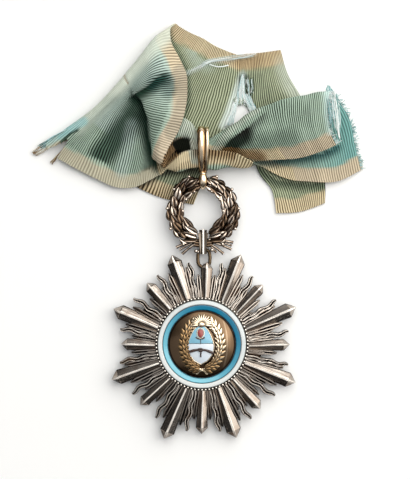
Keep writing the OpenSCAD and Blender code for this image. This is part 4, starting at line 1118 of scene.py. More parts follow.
ribbon = {
    "thick": 0.4, "ribPitch": 0.85, "selvage": 5.0, "wide": 56.0, "stepAlong": 0.36, "stepsAcross": 11,
    "bendShare": 0.12, "bridgeSteps": 27,
    # where the flat back layer starts. Sections are counted from 0 through the five tables above,
    # and so are the strokes' rows
    "backFrom": 20.5,
    # corners in mm of where the left end's corner is torn away, past section notchFrom, and of
    # the tear in the middle. Between the last two tables no cloth is left on the lowest tearTop
    # of the seven stretches across the strip
    "notch": [[-46, 71.5], [-50.5, 64.5], [-57, 58], [-62, 66], [-55.5, 67]], "notchFrom": 15,
    "tear": [[14.4, 92.8], [13.3, 89.5], [12.5, 86.8], [11.4, 84], [10.4, 81.6], [9.3, 78.8],
             [7.7, 73], [17, 73], [18.2, 78.8], [17, 80.9], [15.4, 83], [14.4, 85.1], [14.6, 87.9],
             [14.8, 90.7]],
    "tearTop": 4,
    # the left fold's two ends, how far its edge sags between them, and how deep that reaches
    "foldEdge": [[-54.6, 70.0], [-15.4, 106.75]], "foldSag": 3.2, "foldReach": 10,
    # waves as size in mm, then mm for each radian along and across the strip, and a start
    "lowWaves": [(0.14, 4.3, 20, 0.0), (0.08, 2.1, -19, 0.0)],
    "pleats": [(0.1, 1.9, 16, 0.0), (0.06, 1.1, -23, 1.0)],
    # how far the selvage's loops stand out, and how far in from it they start
    "loopSize": 0.16, "loopReach": 0.9,
    "dyes": {"seaGreen": "#96aa9b", "paleBlue": "#a8bab5", "teal": "#6c9b97", "olive": "#9da68b",
             "cream": "#c8bb9b", "paleCream": "#b5a994", "ash": "#9c9482", "brown": "#7a5a30",
             "deepGreen": "#1e4030", "black": "#0b0f05", "pale": "#b9c1b5", "silk": "#cfdcdb",
             "blue": "#86b6ba", "tan": "#b8955f", "darkTeal": "#15494a", "thread": "#e6ecea",
             "paleThread": "#c3dcdc"},
}


# One drawn change to the cloth: a line in mm seen from above, how far each side of it is fully
# changed and over what distance that fades, its colour and how much of it (a dye for some strokes,
# painted shade and painted light for others), which part of the strip it is on (sections, then
# shares of the width), how strong the ribs are there, and how far the cloth sinks in mm. A crisp one
# acts only on the side of its line that it names, and an area is changed all over inside its line
def drawn(line, wide, soft, dye, share, rows, sides, ribs=None, sink=0, crisp=None, area=False):
    return {"line": np.array(line, float), "wide": wide, "soft": soft, "dye": dye, "share": share,
            "rows": rows, "sides": sides, "ribs": ribs, "sink": sink, "crisp": crisp, "area": area}


strokes = [
    # painted light on the pale fold along the upper left edge
    drawn([[-43, 77], [-36, 84], [-29, 91]], 1.0, 5.0, "pale", 0.8, (14, 21), (0, 1), ribs=0.45),
    drawn([[-30, 90], [-22, 98.5], [-15, 105.5], [-11, 109.5]],
          1.2, 4.4, "pale", 0.85, (14, 21), (0, 1), ribs=0.25),
    # the left fan: painted shade below the pinch, painted light on a swell, painted shade again beside
    # the lap
    drawn([[-21.5, 83], [-25, 77.5], [-30.5, 71], [-35, 65.5]],
          1.8, 4.8, "deepGreen", 0.85, (11, 20), (0.12, 0.62), ribs=1.6, sink=0.4),
    drawn([[-24.5, 76], [-26, 67], [-28, 60]],
          0.6, 3.0, "paleBlue", 0.5, (11, 20), (0.05, 0.6), sink=-0.5),
    drawn([[-15, 62.5], [-17, 67], [-18.5, 72.5], [-19, 77], [-19, 83.5], [-21.5, 86.5]],
          0.5, 4.0, "deepGreen", 1.0, (9.5, 18), (0, 0.62), crisp="left", ribs=1.6, sink=0.8),
    drawn([[-19, 57.5], [-17, 62], [-17, 68]],
          0.6, 3.5, "deepGreen", 0.6, (9.5, 16), (0.08, 0.6), ribs=1.3),
    # painted shade in the pocket under the upper lobe's edge, and a painted shadow in the fine crease
    # above its tip
    drawn([[-14.5, 92.6], [-15.5, 92.3], [-19, 89.5], [-23, 87]],
          1.2, 4.2, "deepGreen", 0.97, (11, 20), (0.4, 0.93), crisp="left", ribs=1.4, sink=0.9),
    drawn([[-11.5, 88], [-13, 91.5], [-16, 90]],
          1.4, 3.0, "darkTeal", 0.4, (11, 20), (0.4, 0.93), ribs=1.2),
    drawn([[-27, 93.6], [-26.4, 91.8], [-25.6, 90.2]],
          0.1, 0.4, "brown", 0.6, (14, 20.5), (0, 1), sink=0.3),
    # the torn left corner: its blue silk, and a painted shadow line beside it
    drawn([[-41, 77.2], [-47.5, 73.8], [-54, 70]],
          0.8, 1.3, "blue", 0.7, (15, 24), (0, 0.45), ribs=0.5),
    drawn([[-43, 74.4], [-46, 72.8], [-49, 70]],
          0.1, 0.8, "deepGreen", 0.9, (15, 20.5), (0, 0.45), ribs=1.2, sink=0.3),
    # the gathers left of the bail: the cream cuff, the pale cloth beside the bail, painted shadow on
    # the selvage left of it, painted shade in the hollow between them, and the browned selvage below the
    # bail
    drawn([[-13, 61.5], [-8, 63.5], [-2, 64]], 2.6, 0.8, "cream", 1.0, (6.5, 11.5), (0, 0.4)),
    drawn([[-5.7, 79.1], [-1.5, 72.8], [-1.4, 63], [-3.1, 63], [-4.2, 67.6], [-5.4, 71.4],
           [-7.7, 73.5]],
          0.2, 0.8, "pale", 0.8, (5, 12.5), (0, 1), area=True),
    drawn([[-12.6, 66.9], [-9.8, 70.7], [-7.9, 66], [-10, 64.3], [-13, 61.5], [-13.8, 62.2]],
          0.1, 0.9, "brown", 0.85, (6, 12.5), (0, 1), ribs=1.5, area=True),
    drawn([[-9.8, 70.7], [-6.6, 71.3], [-4.7, 71.1], [-4.3, 68.5], [-4.1, 67.7], [-6.2, 67.1],
           [-8.1, 66], [-10, 69.3]],
          0.1, 0.8, "black", 1.0, (5, 12.5), (0, 1), area=True, sink=0.8),
    drawn([[-1, 66.5], [4, 66.5], [9, 66.3], [13, 65.4]],
          0.5, 3.0, "brown", 0.68, (6, 11.5), (0, 0.4), ribs=1.4),
    # right of the bail: painted light on the pale roll, painted shade in the hollow under it and at its
    # end, painted shade beside them and on the selvage there, browning it, and a faint painted shade on
    # the panel beyond
    drawn([[19, 81], [14.5, 78], [10.5, 74.5], [7, 70.5], [3, 65]],
          0.7, 0.9, "pale", 0.5, (2, 8), (0.35, 1), sink=-0.4),
    drawn([[12.4, 72.8], [9.8, 71.1], [7.1, 67.8]],
          3.3, 3.4, "black", 0.98, (1.5, 7), (0.5, 1), crisp="left", ribs=1.3, sink=0.8),
    drawn([[20, 78.6], [15.5, 74.9], [12, 72.6]],
          0.5, 3.6, "black", 0.5, (1.5, 7), (0.5, 1), crisp="left", ribs=1.2),
    drawn([[8, 68], [14, 68.5], [21, 70], [30, 71.5]],
          0.8, 4.5, "deepGreen", 0.3, (0.8, 7), (0.5, 0.93), ribs=1.4),
    drawn([[9, 67], [14, 65.5], [20, 64.5]], 0.8, 3.0, "brown", 0.75, (1.5, 7), (0.85, 1), ribs=1.4),
    drawn([[24, 80], [33, 80], [40, 78]], 1.0, 5.0, "deepGreen", 0.08, (0.8, 4), (0.5, 0.93), ribs=1.3),
    # a faint shade on the back layer right of the tear
    drawn([[17.5, 94], [19.5, 89], [22.5, 84.5]], 2.2, 3.0, "deepGreen", 0.16, (24, 30), (0.3, 0.88)),
    # shadow below the right panel, on the roll's lower layer and on the back layer
    drawn([[46, 68.5], [42, 66.5], [34.5, 65], [25.5, 64], [19, 63.5]],
          0.7, 3.4, "darkTeal", 0.85, (0, 5), (0, 0.45), crisp="left"),
    drawn([[43.5, 56], [34.5, 56], [26, 57], [19, 62]],
          0.8, 3.4, "deepGreen", 0.62, (25.5, 30), (0, 0.6), crisp="left", ribs=1.3),
    # shadow on the back layer below the left fan and beside the lobe, and its browned low edge
    drawn([[0, 61.5], [-9, 61], [-15, 60], [-23, 55]],
          0.5, 2.8, "black", 0.8, (20.5, 27), (0, 0.6), crisp="left"),
    drawn([[-7, 79.5], [-5.5, 83], [-5, 88], [-5.5, 94.5], [-8, 100], [-11, 105], [-11.5, 109]],
          0.1, 2.0, "deepGreen", 0.6, (20.5, 27), (0, 1), crisp="right"),
    drawn([[-23, 52], [-12, 49], [-4, 48]], 1.0, 6.0, "brown", 0.35, (20.5, 27), (0, 0.6), ribs=1.3),
    # the greyer selvage of the lobe
    drawn([[-7.5, 94.5], [-6.5, 91], [-6, 85], [-8, 78], [-10.5, 73]],
          1.9, 1.2, "ash", 0.75, (7, 20), (0.86, 1), ribs=0.6),
    # the back layer's worn top: white silk along the ridge, faded cloth at both sides of it
    drawn([[-5, 94.5], [-0.5, 96.5], [3, 98.5], [13.5, 100], [18.5, 101]],
          0.1, 1.2, "silk", 0.5, (22.5, 30), (0, 1), ribs=0.6, sink=-0.4),
    drawn([[-4, 105], [-2, 99], [2, 97.5]], 0.3, 4.5, "paleBlue", 0.4, (21, 30), (0, 0.9), ribs=0.6),
    drawn([[29, 97.5], [31.5, 90.5], [34.5, 86]], 0.8, 5.0, "pale", 0.7, (26, 30), (0.5, 1), ribs=0.5),
    # the tear's sides: white silk on the left, shade and then silk on the right
    drawn([[14.3, 93.5], [11.8, 87], [9.8, 81.5], [7.5, 76]],
          0.3, 2.2, "silk", 0.7, (23, 28.4), (0, 1), ribs=0.5),
    drawn([[14.8, 92.5], [15.3, 88], [16.2, 84], [18.5, 80]],
          0.9, 1.8, "deepGreen", 0.7, (24, 28.5), (0, 1), ribs=1.2),
    drawn([[15.5, 85.5], [16.7, 83], [18.8, 79.5]],
          0.5, 1.2, "silk", 0.8, (24, 28.5), (0, 1), ribs=0.5),
    # the worn end of the right panel, and stains at the top selvage
    drawn([[44.5, 88], [45, 80], [46.5, 72]],
          0.8, 3.4, "paleThread", 0.65, (0, 1.6), (0.55, 0.92), ribs=0.5),
    drawn([[13.5, 100], [18, 100]], 2.0, 3.0, "brown", 0.3, (24, 30), (0.8, 1)),
    drawn([[14.5, 98], [20, 98.8], [27, 100.5]], 2.0, 2.6, "tan", 0.25, (24, 30), (0.9, 1)),
    drawn([[-10, 110], [-6, 107]], 0.5, 6.0, "tan", 0.1, (20.5, 24), (0.88, 1)),
]


# A section's hidden bend made blunt: one point before it and one after, apart in height
def withBend(row):
    p = np.array(row[:7], float)
    rise = np.array([0, 0, row[7]])
    before = p[3] + ribbon["bendShare"] * (p[2] - p[3]) - rise
    after = p[3] + ribbon["bendShare"] * (p[4] - p[3]) + rise
    return np.concatenate([p[:3], [before, after], p[4:]])


# How far the cloth goes from section to section. Both selvages of a fan are longer than its
# gathered middle, so its outer part sets the pace, and the middle one where it lies flat
def clothPace(surface, row):
    step = np.linalg.norm(np.diff(surface, axis=0), axis=-1)
    outer, middle = np.percentile(step, [80, 50], axis=1)
    return np.where(row[1:] < ribbon["backFrom"], outer, middle)


# The cloth's middle surface: smooth curves through the sections, then across them, with the
# sections spaced evenly by that pace
def clothSurface(rows, firstRow=0):
    table = np.array([withBend(row) for row in rows])
    fine = np.linspace(0, len(table) - 1, 40 * len(table))
    run = np.concatenate([[0], np.cumsum(clothPace(smoothCurve(table, fine), fine + firstRow))])
    count = int(np.ceil(run[-1] / ribbon["stepAlong"]))
    places = np.interp(np.linspace(0, run[-1], count + 1), run, fine)
    surface = smoothCurve(table, places)
    acrossPlaces = np.linspace(0, 7, 7 * ribbon["stepsAcross"] + 1)
    surface = np.moveaxis(smoothCurve(np.moveaxis(surface, 1, 0), acrossPlaces), 0, 1)
    return surface, places + firstRow


frontPart, frontPlaces = clothSurface(rightRoll + gathers + leftFan + backLeft)
endPart, endPlaces = clothSurface(backRight, frontPlaces[-1] + 1)
bridgeSteps = np.linspace(0, 1, ribbon["bridgeSteps"] + 1)[1:-1, None, None]
bridge = frontPart[-1] * (1 - bridgeSteps) + endPart[0] * bridgeSteps
cloth = np.concatenate([frontPart, bridge, endPart])
# The left fold's edge sags: places near the line between its two ends are drawn in across it,
# by the most in the middle, and by nothing from foldReach inside the line on
sagStart, sagEnd = np.array(ribbon["foldEdge"])
sagLong = np.linalg.norm(sagEnd - sagStart)
sagAlong = (sagEnd - sagStart) / sagLong
sagOut = np.array([-sagAlong[1], sagAlong[0]])
sagShare = np.clip((cloth[..., :2] - sagStart) @ sagAlong / sagLong, 0, 1)
sagNear = np.clip(1 + (cloth[..., :2] - sagStart) @ sagOut / ribbon["foldReach"], 0, 1)
sag = ribbon["foldSag"] * np.sin(np.pi * sagShare) ** 0.9 * sagNear ** 2 * (3 - 2 * sagNear)
cloth[..., :2] -= sag[..., None] * sagOut
rowCount, colCount = cloth.shape[:2]
rowPlace = np.concatenate([frontPlaces, frontPlaces[-1] + bridgeSteps[:, 0, 0], endPlaces])

# Length along the strip and distance from its lower selvage, both in mm, for the weave
alongRun = np.concatenate([[0], np.cumsum(clothPace(cloth, rowPlace))])
acrossStep = np.linalg.norm(np.diff(cloth, axis=1), axis=-1)
fromLow = np.concatenate([np.zeros((rowCount, 1)), np.cumsum(acrossStep, 1)], 1)
edgeDistance = np.minimum(fromLow, fromLow[:, -1:] - fromLow)
runGrid = alongRun[:, None] + 0 * fromLow
row = rowPlace[:, None] + 0 * fromLow
side = fromLow / fromLow[:, -1:]
print("ribbon sections", rowCount, "by", colCount, "length", round(alongRun[-1], 1), "mm")


# Unit normals of the middle surface, from its two directions
def surfaceNormal(grid):
    return unit(np.cross(np.gradient(grid, axis=1), np.gradient(grid, axis=0)))


# Whether each point lies inside a closed outline, seen from above: the outline is crossed an
# odd number of times on the way out to the right
def insideOutline(points, outline):
    outline = np.array(outline, float)
    after = np.roll(outline, -1, 0)
    x, y = points[..., 0, None], points[..., 1, None]
    spans = (outline[:, 1] > y) != (after[:, 1] > y)
    rise = np.where(np.abs(after[:, 1] - outline[:, 1]) < 1e-9, 1e-9, after[:, 1] - outline[:, 1])
    crossing = outline[:, 0] + (y - outline[:, 1]) * (after[:, 0] - outline[:, 0]) / rise
    return (spans & (crossing > x)).sum(-1) % 2 == 1


# How strongly a stroke acts on each point, from 0 to 1: the distance to the nearest stretch of
# its line, faded smoothly, and cut off at the line for a crisp edge
def strokeShare(stroke):
    start, stretch = stroke["line"][:-1], np.diff(stroke["line"], axis=0)
    away = cloth[..., None, :2] - start
    share = np.clip((away * stretch).sum(-1) / (stretch ** 2).sum(-1), 0, 1)
    away = away - share[..., None] * stretch
    far = np.linalg.norm(away, axis=-1)
    nearest = far.argmin(-1)
    far = far.min(-1)
    if stroke["area"]:
        far = np.where(insideOutline(cloth, stroke["line"]), 0, far)
    fade = np.clip(1 - (far - stroke["wide"]) / stroke["soft"], 0, 1)
    fade = fade * fade * (3 - 2 * fade)
    if stroke["crisp"]:
        away = np.take_along_axis(away, nearest[..., None, None], 2)[..., 0, :]
        stretch = stretch[nearest]
        onLeft = np.sign(stretch[..., 0] * away[..., 1] - stretch[..., 1] * away[..., 0])
        if stroke["crisp"] == "right":
            onLeft = -onLeft
        fade = fade * np.clip(onLeft * far / 0.5 + 0.5, 0, 1)
    low, high = stroke["rows"]
    left, right = stroke["sides"]
    return fade * (row >= low) * (row <= high) * (side >= left) * (side <= right)


strokeShares = [strokeShare(stroke) for stroke in strokes]
for stroke, share in zip(strokes, strokeShares):
    cloth[..., 2] -= stroke["sink"] * share


# A sine wave over the strip, of a size in mm, with so many mm for each radian along and across
def ripple(size, along, across, start):
    return size * np.sin(runGrid / along + fromLow / across + start)


normal = surfaceNormal(cloth)
# Where the cloth lies flat on the surface it comes down to it, with a few low waves
flatShare = np.clip((1.3 - cloth[..., 2]) / 0.7, 0, 1)
cloth[..., 2] -= 0.38 * flatShare
lowWave = sum(wave[0] + ripple(*wave) for wave in ribbon["lowWaves"])
cloth[..., 2] = np.maximum(cloth[..., 2], 0.1) + flatShare * lowWave
# Soft pleats along the ribs where it is held up
pleat = sum(ripple(*wave) for wave in ribbon["pleats"])
cloth += normal * ((1 - flatShare) * pleat)[..., None]
# Nowhere does its underside dip below the surface it lies on
cloth[..., 2] = np.maximum(cloth[..., 2], 0.5 * ribbon["thick"] + 0.02)

# Selvages: the weft's small loops stand out at every rib
outward = unit(np.gradient(cloth, axis=1))
edgeSign = np.where(side < 0.5, -1.0, 1.0)
ribWave = np.sin(runGrid * 2 * np.pi / ribbon["ribPitch"])
loops = ribbon["loopSize"] * np.clip(1 - edgeDistance / ribbon["loopReach"], 0, 1) * ribWave
cloth += outward * (edgeSign * loops)[..., None]

# Which cells of the grid are cloth: all but the tear and the torn corner
isCloth = np.ones((rowCount - 1, colCount - 1), bool)
tearFrom, tearTo = len(frontPart) - 1, len(frontPart) + len(bridge)
isCloth[tearFrom:tearTo, :ribbon["tearTop"] * ribbon["stepsAcross"]] = False
cellMiddle = (cloth[:-1, :-1] + cloth[1:, :-1] + cloth[1:, 1:] + cloth[:-1, 1:]) / 4
isCloth &= ~(insideOutline(cellMiddle, ribbon["notch"]) & (rowPlace[1:, None] > ribbon["notchFrom"]))
# the tear's edges are ragged: each place of the outline is moved a little by two waves
ragged = cellMiddle.copy()
cellX, cellY = cellMiddle[..., 0], cellMiddle[..., 1]
ragged[..., 0] += 0.35 * np.sin(5.1 * cellY) + 0.3 * np.sin(2.3 * cellY + 9 * cellX)
isCloth &= ~(insideOutline(ragged, ribbon["tear"]) & (rowPlace[1:, None] > ribbon["backFrom"]))


# A sheet with a front, a back and rims round every edge of the cells that are kept
def sheetSolid(grid, thick, kept):
    rows, cols = grid.shape[:2]
    n = surfaceNormal(grid)
    points = np.concatenate([grid + n * thick / 2, grid - n * thick / 2]).reshape(-1, 3)
    total = rows * cols
    i, j = np.nonzero(kept)
    p, q = i * cols + j, i * cols + j + 1
    r, s = q + cols, p + cols
    faces = [np.stack([p, q, r, s], -1), np.stack([s, r, q, p], -1) + total]
    padded = np.pad(kept, 1)
    for di, dj, a, b in ((-1, 0, p, q), (1, 0, r, s), (0, 1, q, r), (0, -1, s, p)):
        edge = ~padded[i + 1 + di, j + 1 + dj]
        faces.append(np.stack([a[edge], a[edge] + total, b[edge] + total, b[edge]], -1))
    used = np.zeros(2 * total, bool)
    for face in faces:
        used[face] = True
    renumber = np.cumsum(used) - 1
    return points[used], [renumber[face] for face in faces], used


clothPoints, clothFaces, usedPoints = sheetSolid(cloth, ribbon["thick"], isCloth)
if enclosed(clothPoints, clothFaces) < 0:
    clothFaces = [face[:, ::-1] for face in clothFaces]

# The colour: dyed cream at both selvages and a faded middle that is grey green on the front, bluer on
# the upper part of the left fan, olive on the back layer and teal on the torn end, then the
# strokes, which bring dye and wear in some places and painted shade and painted light in others
dye = {key: hexColour(value) for key, value in ribbon["dyes"].items()}


def blendTo(colour, target, share):
    return colour + (target - colour) * np.clip(share, 0, 1)[..., None]


def bumpAt(value, middle, spread):
    return np.exp(-((value - middle) / spread) ** 2)


colour = np.broadcast_to(dye["seaGreen"], row.shape + (3,)).copy()
tealShare = np.clip((2.6 - row) / 2.2, 0, 1) * np.clip((0.62 - side) / 0.12, 0, 1)
colour = blendTo(colour, dye["teal"], tealShare)
colour = blendTo(colour, dye["paleBlue"], 0.7 * bumpAt(row, 17.5, 2.5) * (side > 0.3))
colour = blendTo(colour, dye["olive"], np.clip((row - 21) / 1.5, 0, 1))
# the selvage is paler at the torn end, up the left fan and on the lobe, greener up the fan
tornEnd = row < 2.6
fanLow = (row > 9) * (row < 20) * (side < 0.5)
lobe = bumpAt(row, 13, 6.5)
palest = lobe * (side > 0.5) + 0.8 * tornEnd + 0.8 * fanLow
cream = blendTo(np.broadcast_to(dye["cream"], colour.shape), dye["paleCream"], palest)
cream = blendTo(cream, dye["seaGreen"], 0.3 * fanLow)
frayed = 0.25 * np.sin(runGrid / 1.7) + 0.2 * ribWave
creamShare = np.clip((ribbon["selvage"] + frayed - edgeDistance) / 0.7 + 0.5, 0, 1)
colour = blendTo(colour, cream, creamShare)
ribStrength = 1.0 - 0.5 * lobe * (side > 0.88) - 0.45 * fanLow * (side < 0.1)
ribStrength = ribStrength - 0.3 * tornEnd * (side < 0.6)
# the strokes bring dye in some places and painted shade and painted light in others
for stroke, share in zip(strokes, strokeShares):
    colour = blendTo(colour, dye[stroke["dye"]], stroke["share"] * share)
    if stroke["ribs"] is not None:
        ribStrength = ribStrength + (stroke["ribs"] - ribStrength) * share
tones = np.concatenate([colour, ribStrength[..., None]], -1).reshape(-1, 4)
clothTones = np.concatenate([tones, tones])[usedPoints]
weave = np.stack([runGrid, fromLow], -1).reshape(-1, 2)
weaveUv = np.concatenate([weave, weave])[usedPoints]

# Grosgrain: silk warp over thick cotton weft cords. The cords give raised ribs across the ribbon,
# drawn with painted shade in their gaps and painted light on their crests, the silk a soft sheen.
# The rib spacing is that of the cloth
grosgrain, tree, shader = newMaterial("silk grosgrain, faded")
uvNode = millimetresOf(tree)
toneNode = toneOf(tree)
clothTone = toneNode["Color"]
alongStrip = addNode(tree, "ShaderNodeSeparateXYZ", links={0: uvNode}).outputs["X"]
swayed = mathOf(tree, "MULTIPLY_ADD", noiseOf(tree, uvNode, 0.11, 2.0), 1.2, alongStrip)
phase = mathOf(tree, "MULTIPLY", swayed, 2 * np.pi / ribbon["ribPitch"])
rib = mathOf(tree, "MULTIPLY_ADD", mathOf(tree, "SINE", phase), 0.5, 0.5)
# each rib has its own depth of dye, and wear breaks the ribs up along their length
streak = noiseOf(tree, scaledOf(tree, uvNode, (1.15, 0.07, 1)), 1.0, 3.0, 0.7)
cloudy = noiseOf(tree, uvNode, 0.12, 5.0, 0.6)
# dye looks deeper where light crosses it twice: the gaps show the dye times itself, darkened further as
# painted shade, and the crests are brightened as painted light
deep = mixOf(tree, 1.0, clothTone, clothTone, "MULTIPLY")
shadedGap = mixOf(tree, 1.0, deep, (0.34, 0.32, 0.3, 1), "MULTIPLY")
litCrest = mixOf(tree, 1.0, clothTone, (1.42, 1.4, 1.38, 1), "MULTIPLY")
onCrest = addRamp(tree, rib, [(0.08, 0.0), (0.5, 0.5), (0.85, 1.0)])
gapShare = mathOf(tree, "SUBTRACT", 1.0, onCrest)
gapShare = mathOf(tree, "MULTIPLY", gapShare, rangeOf(tree, streak, 0.3, 0.7, 0.75, 1.15))
gapShare = mathOf(tree, "MULTIPLY", gapShare, toneNode["Alpha"], clamp=True)
ribbed = mixOf(tree, gapShare, litCrest, shadedGap)
clouded = mixOf(tree, 0.8, ribbed, addRamp(tree, cloudy, [(0.3, 0.8), (0.7, 1.0)]), "MULTIPLY")
threads = noiseOf(tree, scaledOf(tree, uvNode, (1, 6, 1)), 1.2, 2.0)
relief = mathOf(tree, "MULTIPLY_ADD", threads, 0.35, rib)
fill(tree, shader, {
    "Base Color": clouded, "Roughness": 0.6, "Sheen Weight": 0.04, "Sheen Roughness": 0.4,
    "Specular IOR Level": 0.12, "Normal": bumpOf(tree, relief, 0.7, 0.16)})

ribbonPiece = newPiece("foldedRibbon", [(clothPoints, clothFaces, 0)], grosgrain,
                       ["ribbon"], smooth=70, colours=clothTones, uv=weaveUv)
clothArea = sum(np.linalg.norm(np.cross(clothPoints[face[:, 2]] - clothPoints[face[:, 0]],
                                        clothPoints[face[:, 3]] - clothPoints[face[:, 1]]), axis=1).sum()
                for face in clothFaces) / 4
print("cloth area", round(clothArea), "mm2, flat", round(ribbon["wide"] * alongRun[-1]), "mm2")

# Loose silk and cotton threads of the worn and torn edges: bundles of thin strands. A bundle
# passes through pairs of places in mm, its two borders, and every strand keeps its share between
# them. Sway is how far strands wander, and trim the largest share of the way left out at each end
threadBundles = [
    # the torn corner at the left: blue silk, then its cream selvage
    {"through": [[[-41.5, 77.6, 4.4], [-44, 74, 3.2]], [[-50, 73, 3], [-50.5, 70.8, 2]],
                 [[-57.3, 69.0, 1], [-56.4, 67.4, 0.7]]],
     "count": 80, "radius": 0.13, "sway": 0.3, "trim": 0.2,
     "dyes": ["blue", "paleThread", "thread", "seaGreen", "deepGreen"]},
    {"through": [[[-52.5, 71.6, 1.6], [-52, 69.3, 1.4]], [[-59.6, 66.8, 0.6], [-58.2, 65.3, 0.5]]],
     "count": 30, "radius": 0.13, "sway": 0.25, "trim": 0.2,
     "dyes": ["cream", "paleCream", "brown", "thread"]},
    {"through": [[[-47.5, 69, 2.2], [-49.5, 66.5, 2]], [[-53.2, 62.9, 0.5], [-52.6, 62.3, 0.4]]],
     "count": 8, "radius": 0.09, "sway": 0.3, "trim": 0.1, "dyes": ["cream", "brown"]},
    # the worn ridge, and the loose arc below it
    {"through": [[[-5.3, 94, 1.6], [-4.9, 94.8, 1.6]], [[-0.3, 96.3, 1.6], [-0.7, 97.1, 1.6]],
                 [[3.5, 98.2, 1.6], [3, 99.2, 1.6]], [[13, 99.4, 1.5], [13, 100.8, 1.5]],
                 [[19, 100.8, 1.4], [19, 101.6, 1.4]]],
     "count": 15, "radius": 0.075, "sway": 0.3, "trim": 0.55,
     "dyes": ["thread", "thread", "paleThread"]},
    {"through": [[[2.6, 97.3, 1.6], [2.6, 97.5, 1.6]], [[6, 96.4, 1.6], [6, 96.6, 1.6]],
                 [[9.5, 97, 1.5], [9.5, 97.2, 1.5]]],
     "count": 3, "radius": 0.1, "sway": 0.08, "trim": 0.05, "dyes": ["thread"]},
    # silk left in the tear: above the hole, down both its sides, and green tufts at its top
    {"through": [[[14, 94, 1.4], [14.8, 94, 1.4]], [[12.6, 88, 1.2], [15, 88, 1.2]],
                 [[12.4, 83, 0.8], [15.6, 84, 0.8]]],
     "count": 44, "radius": 0.09, "sway": 0.35, "trim": 0.15,
     "dyes": ["thread", "paleThread", "thread"]},
    {"through": [[[14.6, 87, 1.1], [16.2, 87.5, 1.1]], [[16.2, 82.5, 0.9], [18.4, 83, 0.9]],
                 [[17.2, 79.5, 0.7], [19.6, 80, 0.7]]],
     "count": 50, "radius": 0.09, "sway": 0.35, "trim": 0.2,
     "dyes": ["thread", "paleThread", "blue", "thread"]},
    {"through": [[[12, 86.5, 1.1], [13, 85.5, 1]], [[10, 81, 0.9], [11.6, 80.5, 0.8]],
                 [[7.5, 75.5, 0.8], [10.6, 76.5, 0.6]]],
     "count": 46, "radius": 0.09, "sway": 0.35, "trim": 0.2,
     "dyes": ["thread", "paleThread", "thread"]},
    {"through": [[[11.6, 86, 1.1], [14.8, 86.5, 1]], [[11.4, 83.2, 0.8], [14.4, 83.4, 0.7]]],
     "count": 34, "radius": 0.1, "sway": 0.8, "trim": 0.3,
     "dyes": ["olive", "thread", "seaGreen", "olive"]},
    {"through": [[[15.2, 93, 1.3], [18, 93, 1.3]], [[16, 86, 1.1], [18.6, 86.5, 1.1]]],
     "count": 16, "radius": 0.08, "sway": 0.4, "trim": 0.4,
     "dyes": ["paleThread", "thread", "deepGreen"]},
    # the frayed end of the right panel
    {"through": [[[42.6, 88.6, 5.3], [46.6, 87.6, 5.3]], [[43.6, 81, 7.9], [47.8, 81, 6.6]],
                 [[44.6, 74.5, 7.8], [48.2, 72.5, 6.8]]],
     "count": 46, "radius": 0.07, "sway": 0.3, "trim": 0.5,
     "dyes": ["thread", "paleThread", "teal", "blue"]},
    {"through": [[[45.6, 87.5, 6], [46, 87.5, 6]], [[46.2, 80, 7.4], [46.8, 80, 7.2]],
                 [[47.2, 71.5, 7.2], [47.8, 71, 7]]],
     "count": 5, "radius": 0.1, "sway": 0.15, "trim": 0.05, "dyes": ["thread"]},
    {"through": [[[43, 87.8, 5.4], [46.5, 86.4, 5.3]], [[43.2, 88.7, 5.3], [45.4, 88.1, 5.2]],
                 [[43.7, 89.9, 5], [44.3, 89.5, 5]]],
     "count": 26, "radius": 0.1, "sway": 0.25, "trim": 0.3, "dyes": ["teal", "blue", "paleThread"]},
]


lessUpward = np.array([1, 1, 0.4])  # threads stray less in height than sideways


# Points of one bundle's strands, with the same number for each, and two sine waves of random
# phase that start from nothing
def strandPaths(bundle, rng, stations=11):
    borders = np.array(bundle["through"], float)
    count = bundle["count"]
    dense = smoothCurve(borders, np.linspace(0, len(borders) - 1, 81))
    spread = np.sort(rng.uniform(0, 1, count))[:, None]
    ends = rng.uniform(0, bundle["trim"], (2, count, 1))
    t = ends[0] + (1 - ends[0] - ends[1]) * np.linspace(0, 1, stations)
    place = t * 80
    step = np.clip(place.astype(int), 0, 79)
    strip = dense[step] + (dense[step + 1] - dense[step]) * (place - step)[..., None, None]
    path = strip[..., 0, :] + (strip[..., 1, :] - strip[..., 0, :]) * spread[..., None]
    turn = rng.uniform(0, 2 * np.pi, (count, 1, 3))
    t = t[..., None]
    wave = np.sin(5 * t + turn) * rng.uniform(0.3, 1, (count, 1, 3)) + 0.35 * np.sin(13 * t + 2 * turn)
    path = path + bundle["sway"] * wave * t ** 0.5 * lessUpward
    path[..., 2] = np.maximum(path[..., 2], 0.15)
    return path


# Short frayed ends along the torn end of the strip: they start on the cloth's first row, between
# two shares of its width, and stand out from it, each its own way
def fringePaths(low, high, count, long, rng, stations=4):
    place = rng.uniform(low, high, count) * (colCount - 1)
    step = place.astype(int)
    start = cloth[0, step] + (cloth[0, step + 1] - cloth[0, step]) * (place - step)[:, None]
    out = unit((cloth[0] - cloth[2])[step]) + rng.normal(0, 0.45, (count, 3)) * lessUpward
    t = np.linspace(0, 1, stations)[None, :, None]
    curl = rng.normal(0, 0.3, (count, 1, 3)) * t ** 2
    path = start[:, None] + (out[:, None] * t + curl) * long * rng.uniform(0.4, 1, (count, 1, 1))
    path[..., 2] = np.maximum(path[..., 2], 0.15)
    return path


threadRng = np.random.default_rng(29)
threadParts, threadTones = [], []


def addThreads(paths, radius, dyes):
    part = wires(paths, radius, 4)
    shade = threadRng.uniform(0.75, 1.1, (len(paths), 1))
    chosen = threadRng.integers(0, len(dyes), len(paths))
    tone = np.array([dye[name] for name in dyes])[chosen] * shade
    threadParts.append(part)
    threadTones.append(np.repeat(tone, len(part[0]) // len(paths), axis=0))


for bundle in threadBundles:
    addThreads(strandPaths(bundle, threadRng), bundle["radius"], bundle["dyes"])
